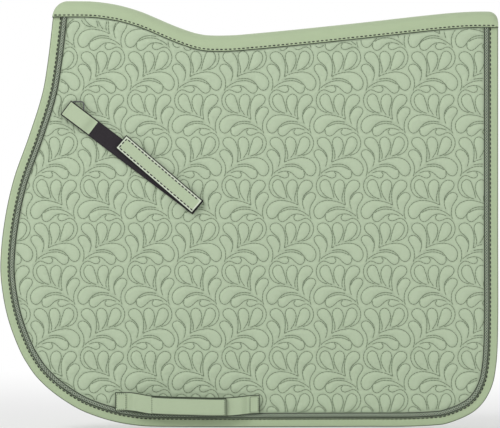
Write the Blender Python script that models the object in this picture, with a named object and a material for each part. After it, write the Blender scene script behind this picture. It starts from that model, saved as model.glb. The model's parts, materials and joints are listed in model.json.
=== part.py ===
"""Quilted saddle pad, folded as it hangs over a horse's back or a rack.

Metres, +Z up, head end at -X, left (near) side at -Y. The origin is under the spine,
at the lowest point of the topline, where the pad rests.
"""

import math

import bmesh
import bpy
from mathutils import Vector
from mathutils.geometry import delaunay_2d_cdt, interpolate_bezier

# The pad's outline, seen from the side
REACH_FRONT = 0.289
REACH_REAR = 0.3566
DROP = 0.508
WITHERS_RISE = 0.0442
REAR_RISE = 0.0307
REST_FRONT = 0.020
REST_REAR = 0.012

# Topline: share of the reach, share of the rise
CREST_FRONT = (
    (0.144, 0.10),
    (0.251, 0.362),
    (0.359, 0.665),
    (0.466, 0.876),
    (0.577, 0.985),
    (0.669, 1.0),
    (0.767, 1.0),
)
CREST_REAR = (
    (0.098, 0.059),
    (0.272, 0.251),
    (0.504, 0.534),
    (0.737, 0.837),
    (0.853, 0.965),
    (0.911, 1.0),
    (1.0, 1.0),
)
# Free edges: share of the reach, share of the drop
FRONT_EDGE = (
    (0.755, 0.160),
    (0.764, 0.045),
    (0.782, -0.044),
    (0.807, -0.138),
    (0.868, -0.252),
    (0.925, -0.338),
    (0.976, -0.457),
    (1.0, -0.585),
    (0.982, -0.686),
    (0.946, -0.759),
    (0.896, -0.824),
    (0.825, -0.881),
    (0.717, -0.932),
    (0.602, -0.967),
    (0.450, -0.992),
    (0.300, -1.0),
)
REAR_EDGE = (
    (0.620, -1.0),
    (0.755, -0.998),
    (0.824, -0.990),
    (0.900, -0.967),
    (0.941, -0.9425),
    (0.970, -0.910),
    (0.987, -0.873),
    (0.996, -0.824),
    (1.0, -0.743),
    (1.0, -0.500),
    (1.0, 0.160),
)

# Layers, from the horse outwards, with the clearance between neighbours
LINING_GAP = 0.016
LINING = 0.0008
FOAM = 0.0030
QUILT_LOFT = 0.0040
QUILT_EDGE = 0.0012
CLEAR = 0.0003

# Quilting: channels round motifs, and the roll at the sewn edges
MOTIF_LENGTH = 0.0612
MOTIF_HEIGHT = 0.0555
MOTIF_X = 0.0883
MOTIF_Z = -0.1041
CHANNEL = 0.0014
ROLL = 0.014

# Spine
BAND_HEIGHT = 0.0215
BAND = 0.0008
BAND_OUT = 0.0007
TUCK = 0.005
ARCH_WADDING = 0.006
ARCH_HAUNCH = 0.003
TAPE = 0.0008
TAPE_WIDTH = 0.0094
FRONT_ROUND = (0.020, 0.021)
REAR_ROUND = (0.012, 0.012)

# Edge binding and trim cord
BINDING_WIDTH = 0.011
BINDING = 0.0008
BINDING_TUCK = 0.0015
CORD_WIDTH = 0.0065
CORD_HEIGHT = 0.0038

# Upper strap
STRAP_SETBACK = 0.0365
STRAP_BELOW = 0.0942
STRAP_ANGLE = math.radians(37.1)
STRAP_LENGTH = 0.2142
STRAP_WIDTH = 0.0230
STRAP_EDGE = 0.0010
WEBBING = 0.0010
STRAP_CLOTH = 0.0008
COVER_LENGTH = 0.045
END_LENGTH = 0.004
FOOT_SHARE = 0.48
LIFTED_LENGTH = 0.030
RAMP_LENGTH = 0.013

# Its flap, folded back and closed on the touch tape
FLAP_LENGTH = 0.131
FLAP_WIDTH = 0.022
FLAP_ANGLE = math.radians(40.6)
FLAP_MARGIN = 0.005

# Keeper ring behind the strap, and the tab round its lower bar
RING_LENGTH = 0.018
RING_HEIGHT = 0.021
RING_WIRE = 0.0020
RING_BEND = 0.0035
RING_AFT = 0.0152
RING_BELOW = 0.0020
EYE_DEPTH = 0.0043
TAB = 0.0006
TAB_WIDTH = 0.009
TAB_TAIL = 0.0085

# Girth loop
GIRTH_FORWARD = 0.140
GIRTH_LENGTH = 0.1873
GIRTH_ABOVE_HEM = 0.0326
GIRTH_WIDTH = 0.0244
GIRTH_WEBBING = 0.0014
GIRTH_TAPE = 0.0008
GIRTH_SEWN_FRONT = 0.0152
GIRTH_SEWN_REAR = 0.0135
GIRTH_OVERLAP = 0.0964
GIRTH_FREE_END = 0.0431
GIRTH_BOW = 0.0058
GIRTH_RISE_LENGTH = 0.0105
GIRTH_SAG = 0.0066
SAG_SHAPE = ((0.0, 0.0), (0.12, 0.0), (0.25, 0.6), (0.5, 0.9), (0.77, 1.0), (0.93, 0.6), (1.0, 0.5))

# How finely curves are followed
EDGE_TURN = math.radians(8)
EDGE_STEP = 0.06
STRAP_STEP = 0.02
SHORTEST = 0.004
FIELD_MARGIN = 0.006
MERGE = 0.00001

# Distances from the middle plane and from the outline that follow from the sizes
INNER = LINING_GAP / 2
FOAM_FACE = INNER + LINING + CLEAR
QUILT_BACK = FOAM_FACE + FOAM + CLEAR
EDGE_FACE = QUILT_BACK + QUILT_EDGE
OUTER = QUILT_BACK + QUILT_LOFT
SEAT = OUTER + CLEAR
CREST = BAND + CLEAR + ARCH_WADDING + CLEAR + TAPE
HALF_WIDTH = OUTER + BAND_OUT
LAYER_INSET = BINDING + CLEAR
CORD_OFFSET = BINDING_WIDTH + CLEAR + CORD_WIDTH / 2
FIELD_OFFSET = CORD_OFFSET + CORD_WIDTH / 2 + CLEAR
HEM = CREST - DROP
FOLD_Z = CREST + WITHERS_RISE - BAND_HEIGHT + TUCK
STRAP_STACK = WEBBING + CLEAR + STRAP_CLOTH
GIRTH_SEAT = max(SEAT, EDGE_FACE + CLEAR + CORD_HEIGHT + CLEAR)

GREEN = (0.44, 0.53, 0.35, 1.0)
PALE_GREEN = (0.50, 0.58, 0.42, 1.0)
BLACK = (0.03, 0.026, 0.03, 1.0)
GREY = (0.31, 0.35, 0.30, 1.0)
WHITE = (0.75, 0.76, 0.72, 1.0)
STEEL = (0.35, 0.35, 0.36, 1.0)


def clear_scene():
    for obj in list(bpy.data.objects):
        bpy.data.objects.remove(obj, do_unlink=True)


def finish(name, colour, roughness, metallic):
    """A plain material for one sub-part."""
    material = bpy.data.materials.new(name)
    material.use_nodes = True
    shader = material.node_tree.nodes["Principled BSDF"]
    shader.inputs["Base Color"].default_value = colour
    shader.inputs["Roughness"].default_value = roughness
    shader.inputs["Metallic"].default_value = metallic
    return material


def add_object(name, bm, colour, pivot=(0.0, 0.0, 0.0), roughness=0.9, metallic=0.0):
    """One sub-part from a bmesh in world coordinates, with its origin at its pivot."""
    bmesh.ops.recalc_face_normals(bm, faces=bm.faces)
    bmesh.ops.translate(bm, verts=bm.verts, vec=-Vector(pivot))
    mesh = bpy.data.meshes.new(name)
    bm.to_mesh(mesh)
    bm.free()
    mesh.materials.append(finish(name, colour, roughness, metallic))
    obj = bpy.data.objects.new(name, mesh)
    obj.location = pivot
    bpy.context.scene.collection.objects.link(obj)
    return obj


def hermite(points, x):
    """Smooth height at x through points that are sorted by x, level at both ends."""
    if x <= points[0][0]:
        return points[0][1]
    if x >= points[-1][0]:
        return points[-1][1]
    slopes = [0.0]
    for before, after in zip(points, points[2:]):
        slopes.append((after[1] - before[1]) / (after[0] - before[0]))
    slopes.append(0.0)
    i = max(k for k in range(len(points) - 1) if points[k][0] <= x)
    x0, y0 = points[i]
    x1, y1 = points[i + 1]
    span = x1 - x0
    t = (x - x0) / span
    start = (2 * t**3 - 3 * t**2 + 1) * y0 + (t**3 - 2 * t**2 + t) * span * slopes[i]
    end = (3 * t**2 - 2 * t**3) * y1 + (t**3 - t**2) * span * slopes[i + 1]
    return start + end


def smoothstep(low, high, x):
    t = min(max((x - low) / (high - low), 0.0), 1.0)
    return t * t * (3 - 2 * t)


def smooth_path(points, steps):
    """Points along Bezier curves through the given points, tangent to their neighbours."""
    tangents = []
    for i in range(len(points)):
        ahead = points[min(i + 1, len(points) - 1)]
        behind = points[max(i - 1, 0)]
        tangents.append((ahead - behind).normalized())
    path = [points[0]]
    for i in range(len(points) - 1):
        reach = (points[i + 1] - points[i]).length / 3
        out = points[i] + tangents[i] * reach
        back = points[i + 1] - tangents[i + 1] * reach
        path += interpolate_bezier(points[i], out, back, points[i + 1], steps + 1)[1:]
    return path


def thin_out(path, turn, spacing):
    """Keeps a point where the path has turned or run on far enough."""
    kept = [path[0]]
    direction = path[1] - path[0]
    for i in range(1, len(path) - 1):
        ahead = path[i + 1] - path[i]
        if direction.angle(ahead) > turn or (path[i + 1] - kept[-1]).length > spacing:
            kept.append(path[i])
            direction = ahead
    kept.append(path[-1])
    return kept


def edge_path():
    """The free edges: from the front of the spine down, along the hem and up the rear."""
    front = [Vector((-x * REACH_FRONT, CREST + z * DROP)) for x, z in FRONT_EDGE]
    rear = [Vector((x * REACH_REAR, CREST + z * DROP)) for x, z in REAR_EDGE]
    return thin_out(smooth_path(front + rear, 8), EDGE_TURN, EDGE_STEP)


def inward(path):
    """Unit normals of a path that runs down the front, pointing into the pad."""
    normals = []
    for i in range(len(path)):
        along = (path[min(i + 1, len(path) - 1)] - path[max(i - 1, 0)]).normalized()
        normals.append(Vector((-along.y, along.x)))
    return normals


def inset(path, distance):
    return [point + normal * distance for point, normal in zip(path, inward(path))]


def crest_curve(x):
    """Height of the topline, before its ends are rounded off."""
    if x < -REST_FRONT:
        start = ((REST_FRONT / REACH_FRONT, 0.0),)
        return CREST + WITHERS_RISE * hermite(start + CREST_FRONT, -x / REACH_FRONT)
    if x > REST_REAR:
        start = ((REST_REAR / REACH_REAR, 0.0),)
        return CREST + REAR_RISE * hermite(start + CREST_REAR, x / REACH_REAR)
    return CREST


def spine_stations():
    """Stations along the spine, level between the two beside the rest."""
    front = -CREST_FRONT[-1][0] * REACH_FRONT
    before = [front + (-REST_FRONT - front) * i / 12 for i in range(13)]
    after = [REST_REAR + (REACH_REAR - REST_REAR) * i / 12 for i in range(13)]
    return before + after


EDGE = edge_path()
STATIONS = spine_stations()


def crest(x):
    """The topline between stations, where every spine piece runs straight."""
    if x <= STATIONS[0]:
        return crest_curve(STATIONS[0])
    for a, b in zip(STATIONS, STATIONS[1:]):
        if x <= b:
            share = (x - a) / (b - a)
            return crest_curve(a) * (1 - share) + crest_curve(b) * share
    return crest_curve(STATIONS[-1])


def top_edge(x):
    """Top of a side's layers, tucked under the spine band."""
    return crest(x) - BAND_HEIGHT + TUCK - CLEAR


def below(path, lower):
    """The stretch of a path that lies lower than the top edge, cut where it crosses it."""

    def over(point):
        return point.y - top_edge(point.x) + lower

    def crossing(outside, inside):
        for _ in range(30):
            middle = (outside + inside) / 2
            if over(middle) > 0:
                outside = middle
            else:
                inside = middle
        return inside

    low = [i for i, point in enumerate(path) if over(point) < 0]
    start = crossing(path[low[0] - 1], path[low[0]])
    end = crossing(path[low[-1] + 1], path[low[-1]])
    kept = [path[i] for i in low if min((path[i] - start).length, (path[i] - end).length) > SHORTEST]
    return [start] + kept + [end]


def outline(side_inset, top_inset):
    """A closed loop inside the pad's outline, anticlockwise."""
    edge = below(inset(EDGE, side_inset), top_inset)
    top = [
        Vector((x, top_edge(x) - top_inset))
        for x in reversed(STATIONS)
        if edge[0].x + SHORTEST < x < edge[-1].x - SHORTEST
    ]
    return edge + top


def edge_distance(point):
    """Distance from the free edges."""
    distances = []
    for a, b in zip(EDGE, EDGE[1:]):
        along = b - a
        t = min(max((point - a).dot(along) / along.length_squared, 0.0), 1.0)
        distances.append((point - a - along * t).length)
    return min(distances)


def sweep(sections, closed=False):
    """A bmesh through closed sections, capped at its ends unless the path is closed."""
    bm = bmesh.new()
    rings = [[bm.verts.new(point) for point in section] for section in sections]
    count = len(rings[0])
    pairs = list(zip(rings, rings[1:]))
    if closed:
        pairs.append((rings[-1], rings[0]))
    for near, far in pairs:
        for i in range(count):
            j = (i + 1) % count
            bm.faces.new((near[i], near[j], far[j], far[i]))
    if not closed:
        bm.faces.new(reversed(rings[0]))
        bm.faces.new(rings[-1])
    return bm


def plate(side, loop, near, far):
    """A flat layer between two distances from the middle plane."""
    return sweep([[(p.x, side * y, p.y) for p in loop] for y in (near, far)])


def groove(value, pitch):
    """1 on a line of the quilting, falling to 0 a third of a pitch away."""
    share = (value / pitch + 0.5) % 1.0
    return max(0.0, 1.0 - 3 * min(share, 1.0 - share))


def quilt_face(point):
    """Distance of the quilted face from the middle plane."""
    side = smoothstep(FIELD_OFFSET, FIELD_OFFSET + ROLL, edge_distance(point))
    depth = top_edge(point.x) - point.y
    top = smoothstep(TUCK + CLEAR, TUCK + CLEAR + ROLL, depth)
    lines = max(
        groove(point.x - MOTIF_X, MOTIF_LENGTH), groove(point.y - CREST - MOTIF_Z, MOTIF_HEIGHT)
    )
    return EDGE_FACE + (OUTER - EDGE_FACE - CHANNEL * lines) * side * top


def quilt_points(margin):
    """Points on a third of the quilting's pitch, well inside the roll."""
    across, down = MOTIF_LENGTH / 3, MOTIF_HEIGHT / 3
    left, right = -REACH_FRONT, REACH_REAR
    first, last = math.ceil((left - MOTIF_X) / across - 0.5), (right - MOTIF_X) // across
    lowest, highest = math.ceil((-DROP - MOTIF_Z) / down - 0.5), (WITHERS_RISE - MOTIF_Z) // down
    points = []
    for i in range(first, int(last) + 1):
        for k in range(lowest, int(highest) + 1):
            point = Vector((MOTIF_X + (i + 0.5) * across, CREST + MOTIF_Z + (k + 0.5) * down))
            deep = top_edge(point.x) - point.y > TUCK + margin
            if deep and edge_distance(point) > FIELD_OFFSET + margin:
                points.append(point)
    return points


def outer_quilt(side):
    """Quilted cloth and wadding: flat behind, rolled to its sewn edges in front."""
    loops = [
        outline(LAYER_INSET, 0.0),
        outline(FIELD_OFFSET, TUCK + CLEAR),
        outline(FIELD_OFFSET + ROLL, TUCK + CLEAR + ROLL),
    ]
    points = []
    edges = []
    for loop in loops:
        first = len(points)
        points += loop
        edges += [(first + i, first + (i + 1) % len(loop)) for i in range(len(loop))]
    points += quilt_points(ROLL + FIELD_MARGIN)
    rim = list(range(len(loops[0])))
    found = delaunay_2d_cdt(points, edges, [rim], 1, MERGE)
    bm = bmesh.new()
    verts = [bm.verts.new((p.x, side * quilt_face(p), p.y)) for p in found[0]]
    for face in found[2]:
        bm.faces.new([verts[i] for i in face])
    open_edges = [edge for edge in bm.edges if edge.is_boundary]
    walls = bmesh.ops.extrude_edge_only(bm, edges=open_edges)["geom"]
    for vert in walls:
        if isinstance(vert, bmesh.types.BMVert):
            vert.co.y = side * QUILT_BACK
    bmesh.ops.holes_fill(bm, edges=[edge for edge in bm.edges if edge.is_boundary], sides=0)
    return bm


def edge_binding(side):
    """Tape folded round the free edges of the layers."""
    outside, inside = EDGE_FACE + CLEAR + BINDING, INNER - CLEAR - BINDING
    soft = BINDING
    profile = (
        (BINDING_WIDTH, outside),
        (soft, outside),
        (0.0, outside - soft),
        (0.0, inside + soft),
        (soft, inside),
        (BINDING_WIDTH, inside),
        (BINDING_WIDTH, inside + BINDING),
        (BINDING, inside + BINDING),
        (BINDING, outside - BINDING),
        (BINDING_WIDTH, outside - BINDING),
    )
    path = below(EDGE, TUCK - BINDING_TUCK)
    return sweep(
        [
            [(p.x + n.x * u, side * y, p.y + n.y * u) for u, y in profile]
            for p, n in zip(path, inward(path))
        ]
    )


def trim_cord(side):
    """Flattened cord that lies along the inner edge of the binding."""
    path = below(inset(EDGE, CORD_OFFSET), TUCK)
    middle = EDGE_FACE + CLEAR + CORD_HEIGHT / 2
    sections = []
    for p, n in zip(path, inward(path)):
        section = []
        for i in range(8):
            turn = math.tau * (i + 0.5) / 8
            u = CORD_WIDTH / 2 * math.cos(turn)
            y = middle + CORD_HEIGHT / 2 * math.sin(turn)
            section.append((p.x + n.x * u, side * y, p.y + n.y * u))
        sections.append(section)
    return sweep(sections)


def rounding(x):
    """How far the rounded ends of the spine lie under the topline."""
    for start, way, (length, height) in (
        (STATIONS[0], 1.0, FRONT_ROUND),
        (STATIONS[-1], -1.0, REAR_ROUND),
    ):
        reach = (x - start) * way
        if reach < length:
            return height * (1 - math.sqrt(max(1 - (1 - reach / length) ** 2, 0.0)))
    return 0.0


def rounded_stations(share):
    """Spine stations with closer ones in the rounded ends, cut off at a share of them."""
    first, last = STATIONS[0], STATIONS[-1]
    steps = [s for s in (0.0, 0.12, 0.5, 1.0) if s >= share]
    front = [first + FRONT_ROUND[0] * s for s in steps]
    rear = [last - REAR_ROUND[0] * s for s in reversed(steps)]
    middle = [x for x in STATIONS if front[-1] + SHORTEST < x < rear[0] - SHORTEST]
    return front + middle + rear


def arch(half_width, top, base):
    """Points over a rounded ridge from one side to the other, widest at its base."""
    rise = min(half_width, top - base)
    points = []
    for i in range(9):
        turn = math.pi * i / 8
        points.append((half_width * math.cos(turn), top - rise + rise * math.sin(turn)))
    return points


def spine_binding():
    """Webbing band folded over the topline."""
    half = HALF_WIDTH - BAND
    sections = []
    for x in rounded_stations(0.0):
        top, lower = crest(x) - rounding(x), crest(x) - BAND_HEIGHT
        thin = min(BAND, (top - lower) / 4)
        base = lower + thin
        outside = [(HALF_WIDTH, lower)] + arch(HALF_WIDTH, top, base) + [(-HALF_WIDTH, lower)]
        inside = [(-half, lower)] + arch(half, top - thin, base)[::-1] + [(half, lower)]
        sections.append([(x, y, z) for y, z in outside + inside])
    return sweep(sections)


def spine_pad():
    """Wadding arch: its legs meet the two sides, its crown fills the band."""
    half = HALF_WIDTH - BAND - CLEAR
    sections = []
    for x in rounded_stations(0.5):
        top, lower = crest(x) - BAND - CLEAR, crest(x) - BAND_HEIGHT
        foot, crown = lower + TUCK, top - ARCH_WADDING
        inner = TAPE_WIDTH / 2 + CLEAR
        over = arch(half, top - rounding(x), lower + BAND)
        share = min(max((foot - over[0][1]) / (over[1][1] - over[0][1]), 0.0), 1.0)
        wall = half + (over[1][0] - half) * share
        over = [(wall, foot)] + over[1:-1] + [(-wall, foot)]
        under = [
            (-INNER, foot),
            (-INNER, crown - ARCH_HAUNCH),
            (-inner, crown),
            (inner, crown),
            (INNER, crown - ARCH_HAUNCH),
            (INNER, foot),
        ]
        sections.append([(x, y, z) for y, z in over + under])
    return sweep(sections)


def spine_tape():
    """Lining tape under the arch. Its level stretch is where the pad rests."""
    half = TAPE_WIDTH / 2
    first, last = STATIONS[0] + FRONT_ROUND[0], STATIONS[-1] - REAR_ROUND[0]
    xs = [first] + [x for x in STATIONS if first < x < last] + [last]
    return sweep(
        [
            [(x, half, crest(x) - CREST), (x, half, crest(x) - CREST + TAPE)]
            + [(x, -half, crest(x) - CREST + TAPE), (x, -half, crest(x) - CREST)]
            for x in xs
        ]
    )


class Place:
    """A flat frame on one side of the pad: along, across, and out from the middle."""

    def __init__(self, side, x, z, along, across):
        self.side = side
        self.at = Vector((x, z))
        self.along = Vector(along)
        self.across = Vector(across)

    def point(self, s, c, out):
        flat = self.at + self.along * s + self.across * c
        return Vector((flat.x, self.side * out, flat.y))


def strip(place, path, thickness, width, sag=None):
    """A strap: a path of (along, out) with a thickness and a width across."""
    points = [Vector(point) for point in path]
    sections = []
    for i, point in enumerate(points):
        before = (point - points[i - 1]).normalized() if i else None
        after = (points[i + 1] - point).normalized() if i + 1 < len(points) else None
        before, after = before or after, after or before
        along = (before + after).normalized()
        half = thickness / 2 / max(along.dot(after), 0.5)
        normal = Vector((-along.y, along.x)) * half
        low, high = point - normal, point + normal
        drop = sag(place.point(point.x, 0.0, 0.0).x) if sag else 0.0
        sections.append(
            [
                place.point(low.x, -width / 2 - drop, low.y),
                place.point(low.x, width / 2 - drop, low.y),
                place.point(high.x, width / 2 - drop, high.y),
                place.point(high.x, -width / 2 - drop, high.y),
            ]
        )
    return sweep(sections)


def strap_place(side):
    """The upper strap's frame: its sewn end, down and back along it, up across it."""
    height = CREST - STRAP_BELOW
    for a, b in zip(EDGE, EDGE[1:]):
        if b.y <= height:
            front = a.x + (b.x - a.x) * (height - a.y) / (b.y - a.y)
            break
    sine, cosine = math.sin(STRAP_ANGLE), math.cos(STRAP_ANGLE)
    return Place(side, front + STRAP_SETBACK, height, (cosine, -sine), (sine, cosine))


def strap_layer(place, start, end, under, thickness, width, pivot, name, colour):
    """One layer of the strap, which passes over the ring and then lies on the pad."""
    high, low = SEAT + EYE_DEPTH + under + thickness / 2, SEAT + under + thickness / 2
    ramp = LIFTED_LENGTH + RAMP_LENGTH
    path = [(start, high), (LIFTED_LENGTH, high), (ramp, low), (end, low)]
    if start >= ramp:
        path = [(start, low), (end, low)]
    return add_object(name, strip(place, path, thickness, width), colour, pivot)


def upper_strap(side, prefix):
    place = strap_place(side)
    sewn_end(place, prefix)
    top = SEAT + EYE_DEPTH + STRAP_STACK
    pivot = place.point(END_LENGTH + CLEAR / 2, 0.0, top)
    start = END_LENGTH + CLEAR
    end = STRAP_LENGTH - STRAP_WIDTH / 2 * math.tan(FLAP_ANGLE - STRAP_ANGLE) - 2 * CLEAR
    narrow = STRAP_WIDTH - 2 * STRAP_EDGE
    upper = WEBBING + CLEAR
    strap_layer(
        place, start, end, 0.0, WEBBING, STRAP_WIDTH, pivot, prefix + "strap_backing", BLACK
    )
    strap_layer(
        place, start, COVER_LENGTH - CLEAR, upper, STRAP_CLOTH, narrow, pivot,
        prefix + "strap_cover", GREEN,
    )
    strap_layer(
        place, COVER_LENGTH, end, upper, STRAP_CLOTH, narrow, pivot,
        prefix + "strap_loop_tape", BLACK,
    )
    flap(place, prefix)
    keeper_ring(place, prefix)


def sewn_end(place, prefix):
    """The strap's folded end, with the foot that is sewn to the pad clear of the ring."""
    half = STRAP_WIDTH / 2 - STRAP_EDGE
    low, top = SEAT + EYE_DEPTH, SEAT + EYE_DEPTH + STRAP_STACK
    inner = -half + FOOT_SHARE * STRAP_WIDTH
    profile = ((-half, SEAT), (inner, SEAT), (inner, low), (half, low), (half, top), (-half, top))
    sections = [[place.point(s, c, out) for c, out in profile] for s in (0.0, END_LENGTH)]
    add_object(prefix + "strap_end", sweep(sections), GREEN)


def flap(strap, prefix):
    """The strap's return, from the fold back up to its free end."""
    sine, cosine = math.sin(FLAP_ANGLE), math.cos(FLAP_ANGLE)
    fold = strap.point(STRAP_LENGTH, 0.0, 0.0)
    place = Place(strap.side, fold.x, fold.z, (-cosine, sine), (sine, cosine))
    face = SEAT + STRAP_STACK
    pivot = place.point(0.0, 0.0, face + CLEAR / 2)
    hook = face + CLEAR + STRAP_CLOTH / 2
    cover = face + CLEAR + STRAP_CLOTH + CLEAR + WEBBING / 2
    narrow = FLAP_WIDTH - 2 * STRAP_EDGE
    hook_path = [(FLAP_MARGIN, hook), (FLAP_LENGTH - FLAP_MARGIN, hook)]
    cover_path = [(CLEAR, cover), (FLAP_LENGTH, cover)]
    hook_tape = strip(place, hook_path, STRAP_CLOTH, narrow)
    add_object(prefix + "flap_hook_tape", hook_tape, BLACK, pivot)
    cloth = strip(place, cover_path, WEBBING, FLAP_WIDTH)
    add_object(prefix + "flap_cover", cloth, GREEN, pivot)


def keeper_ring(strap, prefix):
    """A flat wire ring behind the strap's end, and the tab round its lower bar."""
    end = strap.point(0.0, 0.0, 0.0)
    place = Place(strap.side, end.x + RING_AFT, end.z - RING_BELOW, (1.0, 0.0), (0.0, 1.0))
    radius = RING_WIRE / 2
    half_length, half_height = RING_LENGTH / 2 - radius, RING_HEIGHT / 2 - radius
    height = SEAT + TAB + CLEAR + radius
    sections = []
    for quarter in range(4):
        middle = Vector((half_length - RING_BEND, half_height - RING_BEND))
        middle = Vector((middle.x * (1, -1, -1, 1)[quarter], middle.y * (1, 1, -1, -1)[quarter]))
        for step in range(4):
            turn = math.pi / 2 * (quarter + step / 3)
            ray = Vector((math.cos(turn), math.sin(turn)))
            section = []
            for i in range(8):
                angle = math.tau * (i + 0.5) / 8
                flat = middle + ray * (RING_BEND + radius * math.cos(angle))
                section.append(place.point(flat.x, flat.y, height + radius * math.sin(angle)))
            sections.append(section)
    ring = sweep(sections, closed=True)
    add_object(prefix + "keeper_ring", ring, STEEL, roughness=0.35, metallic=1.0)
    ring_tab(place, prefix, -half_height, height)


def ring_tab(ring, prefix, bar, height):
    """Webbing from the pad under the ring's lower bar, over it and back down to the pad."""
    reach = RING_WIRE / 2 + CLEAR + TAB / 2
    path = [(-TAB_TAIL, height - reach)]
    for i in range(7):
        turn = -math.pi / 2 + math.pi * i / 6
        path.append((reach * math.cos(turn), height + reach * math.sin(turn)))
    low = height - reach + TAB + CLEAR
    path += [(-TAB_TAIL * 0.55, low), (-TAB_TAIL, low)]
    at = ring.at + Vector((0.0, bar))
    place = Place(ring.side, at.x, at.y, (0.0, 1.0), (1.0, 0.0))
    add_object(prefix + "ring_tab", strip(place, path, TAB, TAB_WIDTH), GREEN)


def girth_sag(x):
    """How far the girth loop's middle line hangs below its sewn front end."""
    return GIRTH_SAG * hermite(SAG_SHAPE, (x + GIRTH_FORWARD) / GIRTH_LENGTH)


def rising_path(height, reach, start=CLEAR / 2):
    """From a sewn end up to a height, then on in short steps to the reach."""
    base = GIRTH_SEAT + GIRTH_WEBBING / 2
    path = [(start, base), (start + GIRTH_WEBBING, base), (GIRTH_RISE_LENGTH, height)]
    steps = max(2, round(reach / STRAP_STEP))
    for i in range(1, steps + 1):
        path.append((GIRTH_RISE_LENGTH + (reach - GIRTH_RISE_LENGTH) * i / steps, height))
    return path


def level_path(start, end, height):
    steps = max(2, round((end - start) / STRAP_STEP))
    return [(start + (end - start) * i / steps, height) for i in range(steps + 1)]


def girth_loop(side, prefix):
    """Two straps bowed off the pad: the front one closes on the rear one."""
    line = HEM + GIRTH_ABOVE_HEM
    front_x = -GIRTH_FORWARD + GIRTH_SEWN_FRONT
    rear_x = -GIRTH_FORWARD + GIRTH_LENGTH - GIRTH_SEWN_REAR
    front = Place(side, front_x, line, (1.0, 0.0), (0.0, 1.0))
    rear = Place(side, rear_x, line, (-1.0, 0.0), (0.0, 1.0))
    rear_height = SEAT + GIRTH_BOW + GIRTH_WEBBING / 2
    loop_height = rear_height + GIRTH_WEBBING / 2 + CLEAR + GIRTH_TAPE / 2
    hook_height = loop_height + GIRTH_TAPE + CLEAR
    front_height = hook_height + GIRTH_TAPE / 2 + CLEAR + GIRTH_WEBBING / 2
    rear_reach = GIRTH_FREE_END - GIRTH_SEWN_REAR + GIRTH_OVERLAP
    front_reach = GIRTH_LENGTH - GIRTH_SEWN_FRONT - GIRTH_FREE_END
    hinge = GIRTH_SEAT + GIRTH_WEBBING
    front_pivot, rear_pivot = front.point(0.0, 0.0, hinge), rear.point(0.0, 0.0, hinge)
    tape = GIRTH_WIDTH - 2 * STRAP_EDGE
    base = GIRTH_SEAT + GIRTH_WEBBING / 2
    for name, place, path, thickness, width, colour, pivot in (
        ("girth_front_end", front, level_path(-GIRTH_SEWN_FRONT, -CLEAR / 2, base),
         GIRTH_WEBBING, GIRTH_WIDTH, GREEN, (0.0, 0.0, 0.0)),
        ("girth_rear_end", rear, level_path(-GIRTH_SEWN_REAR, -CLEAR / 2, base),
         GIRTH_WEBBING, GIRTH_WIDTH, GREEN, (0.0, 0.0, 0.0)),
        ("girth_front_strap", front, rising_path(front_height, front_reach),
         GIRTH_WEBBING, GIRTH_WIDTH, GREEN, front_pivot),
        ("girth_hook_tape", front,
         level_path(front_reach - GIRTH_OVERLAP + FLAP_MARGIN, front_reach - CLEAR, hook_height),
         GIRTH_TAPE, tape, BLACK, front_pivot),
        ("girth_rear_strap", rear, rising_path(rear_height, rear_reach),
         GIRTH_WEBBING, GIRTH_WIDTH, GREEN, rear_pivot),
        ("girth_loop_tape", rear,
         level_path(rear_reach - GIRTH_OVERLAP, rear_reach - CLEAR, loop_height),
         GIRTH_TAPE, tape, BLACK, rear_pivot),
    ):
        add_object(prefix + name, strip(place, path, thickness, width, girth_sag), colour, pivot)


def build_side(side, prefix):
    """One side of the pad, which hangs from the fold along the spine."""
    fold = (0.0, side * OUTER, FOLD_Z)
    loop = outline(LAYER_INSET, 0.0)
    lining = plate(side, loop, INNER, INNER + LINING)
    add_object(prefix + "lining", lining, WHITE, fold)
    foam = plate(side, loop, FOAM_FACE, FOAM_FACE + FOAM)
    add_object(prefix + "foam_core", foam, WHITE, fold)
    add_object(prefix + "outer_quilt", outer_quilt(side), GREEN, fold)
    add_object(prefix + "edge_binding", edge_binding(side), PALE_GREEN, fold)
    add_object(prefix + "trim_cord", trim_cord(side), GREY, fold)
    upper_strap(side, prefix)
    girth_loop(side, prefix)


clear_scene()
add_object("spine_binding", spine_binding(), PALE_GREEN)
add_object("spine_pad", spine_pad(), WHITE)
add_object("spine_tape", spine_tape(), WHITE)
build_side(-1.0, "left_")
build_side(1.0, "right_")
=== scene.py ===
"""Looks of the folded quilted saddle pad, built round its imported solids.

Metres, +Z up, head end at -X, left (near) side at -Y, which faces the camera. Each piece
is shaped for the left side and mirrored for the right one.
"""

import json
import math
from collections import Counter

import bmesh
import bpy
import numpy as np
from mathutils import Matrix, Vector
from mathutils.geometry import delaunay_2d_cdt
from mathutils.kdtree import KDTree

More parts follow.
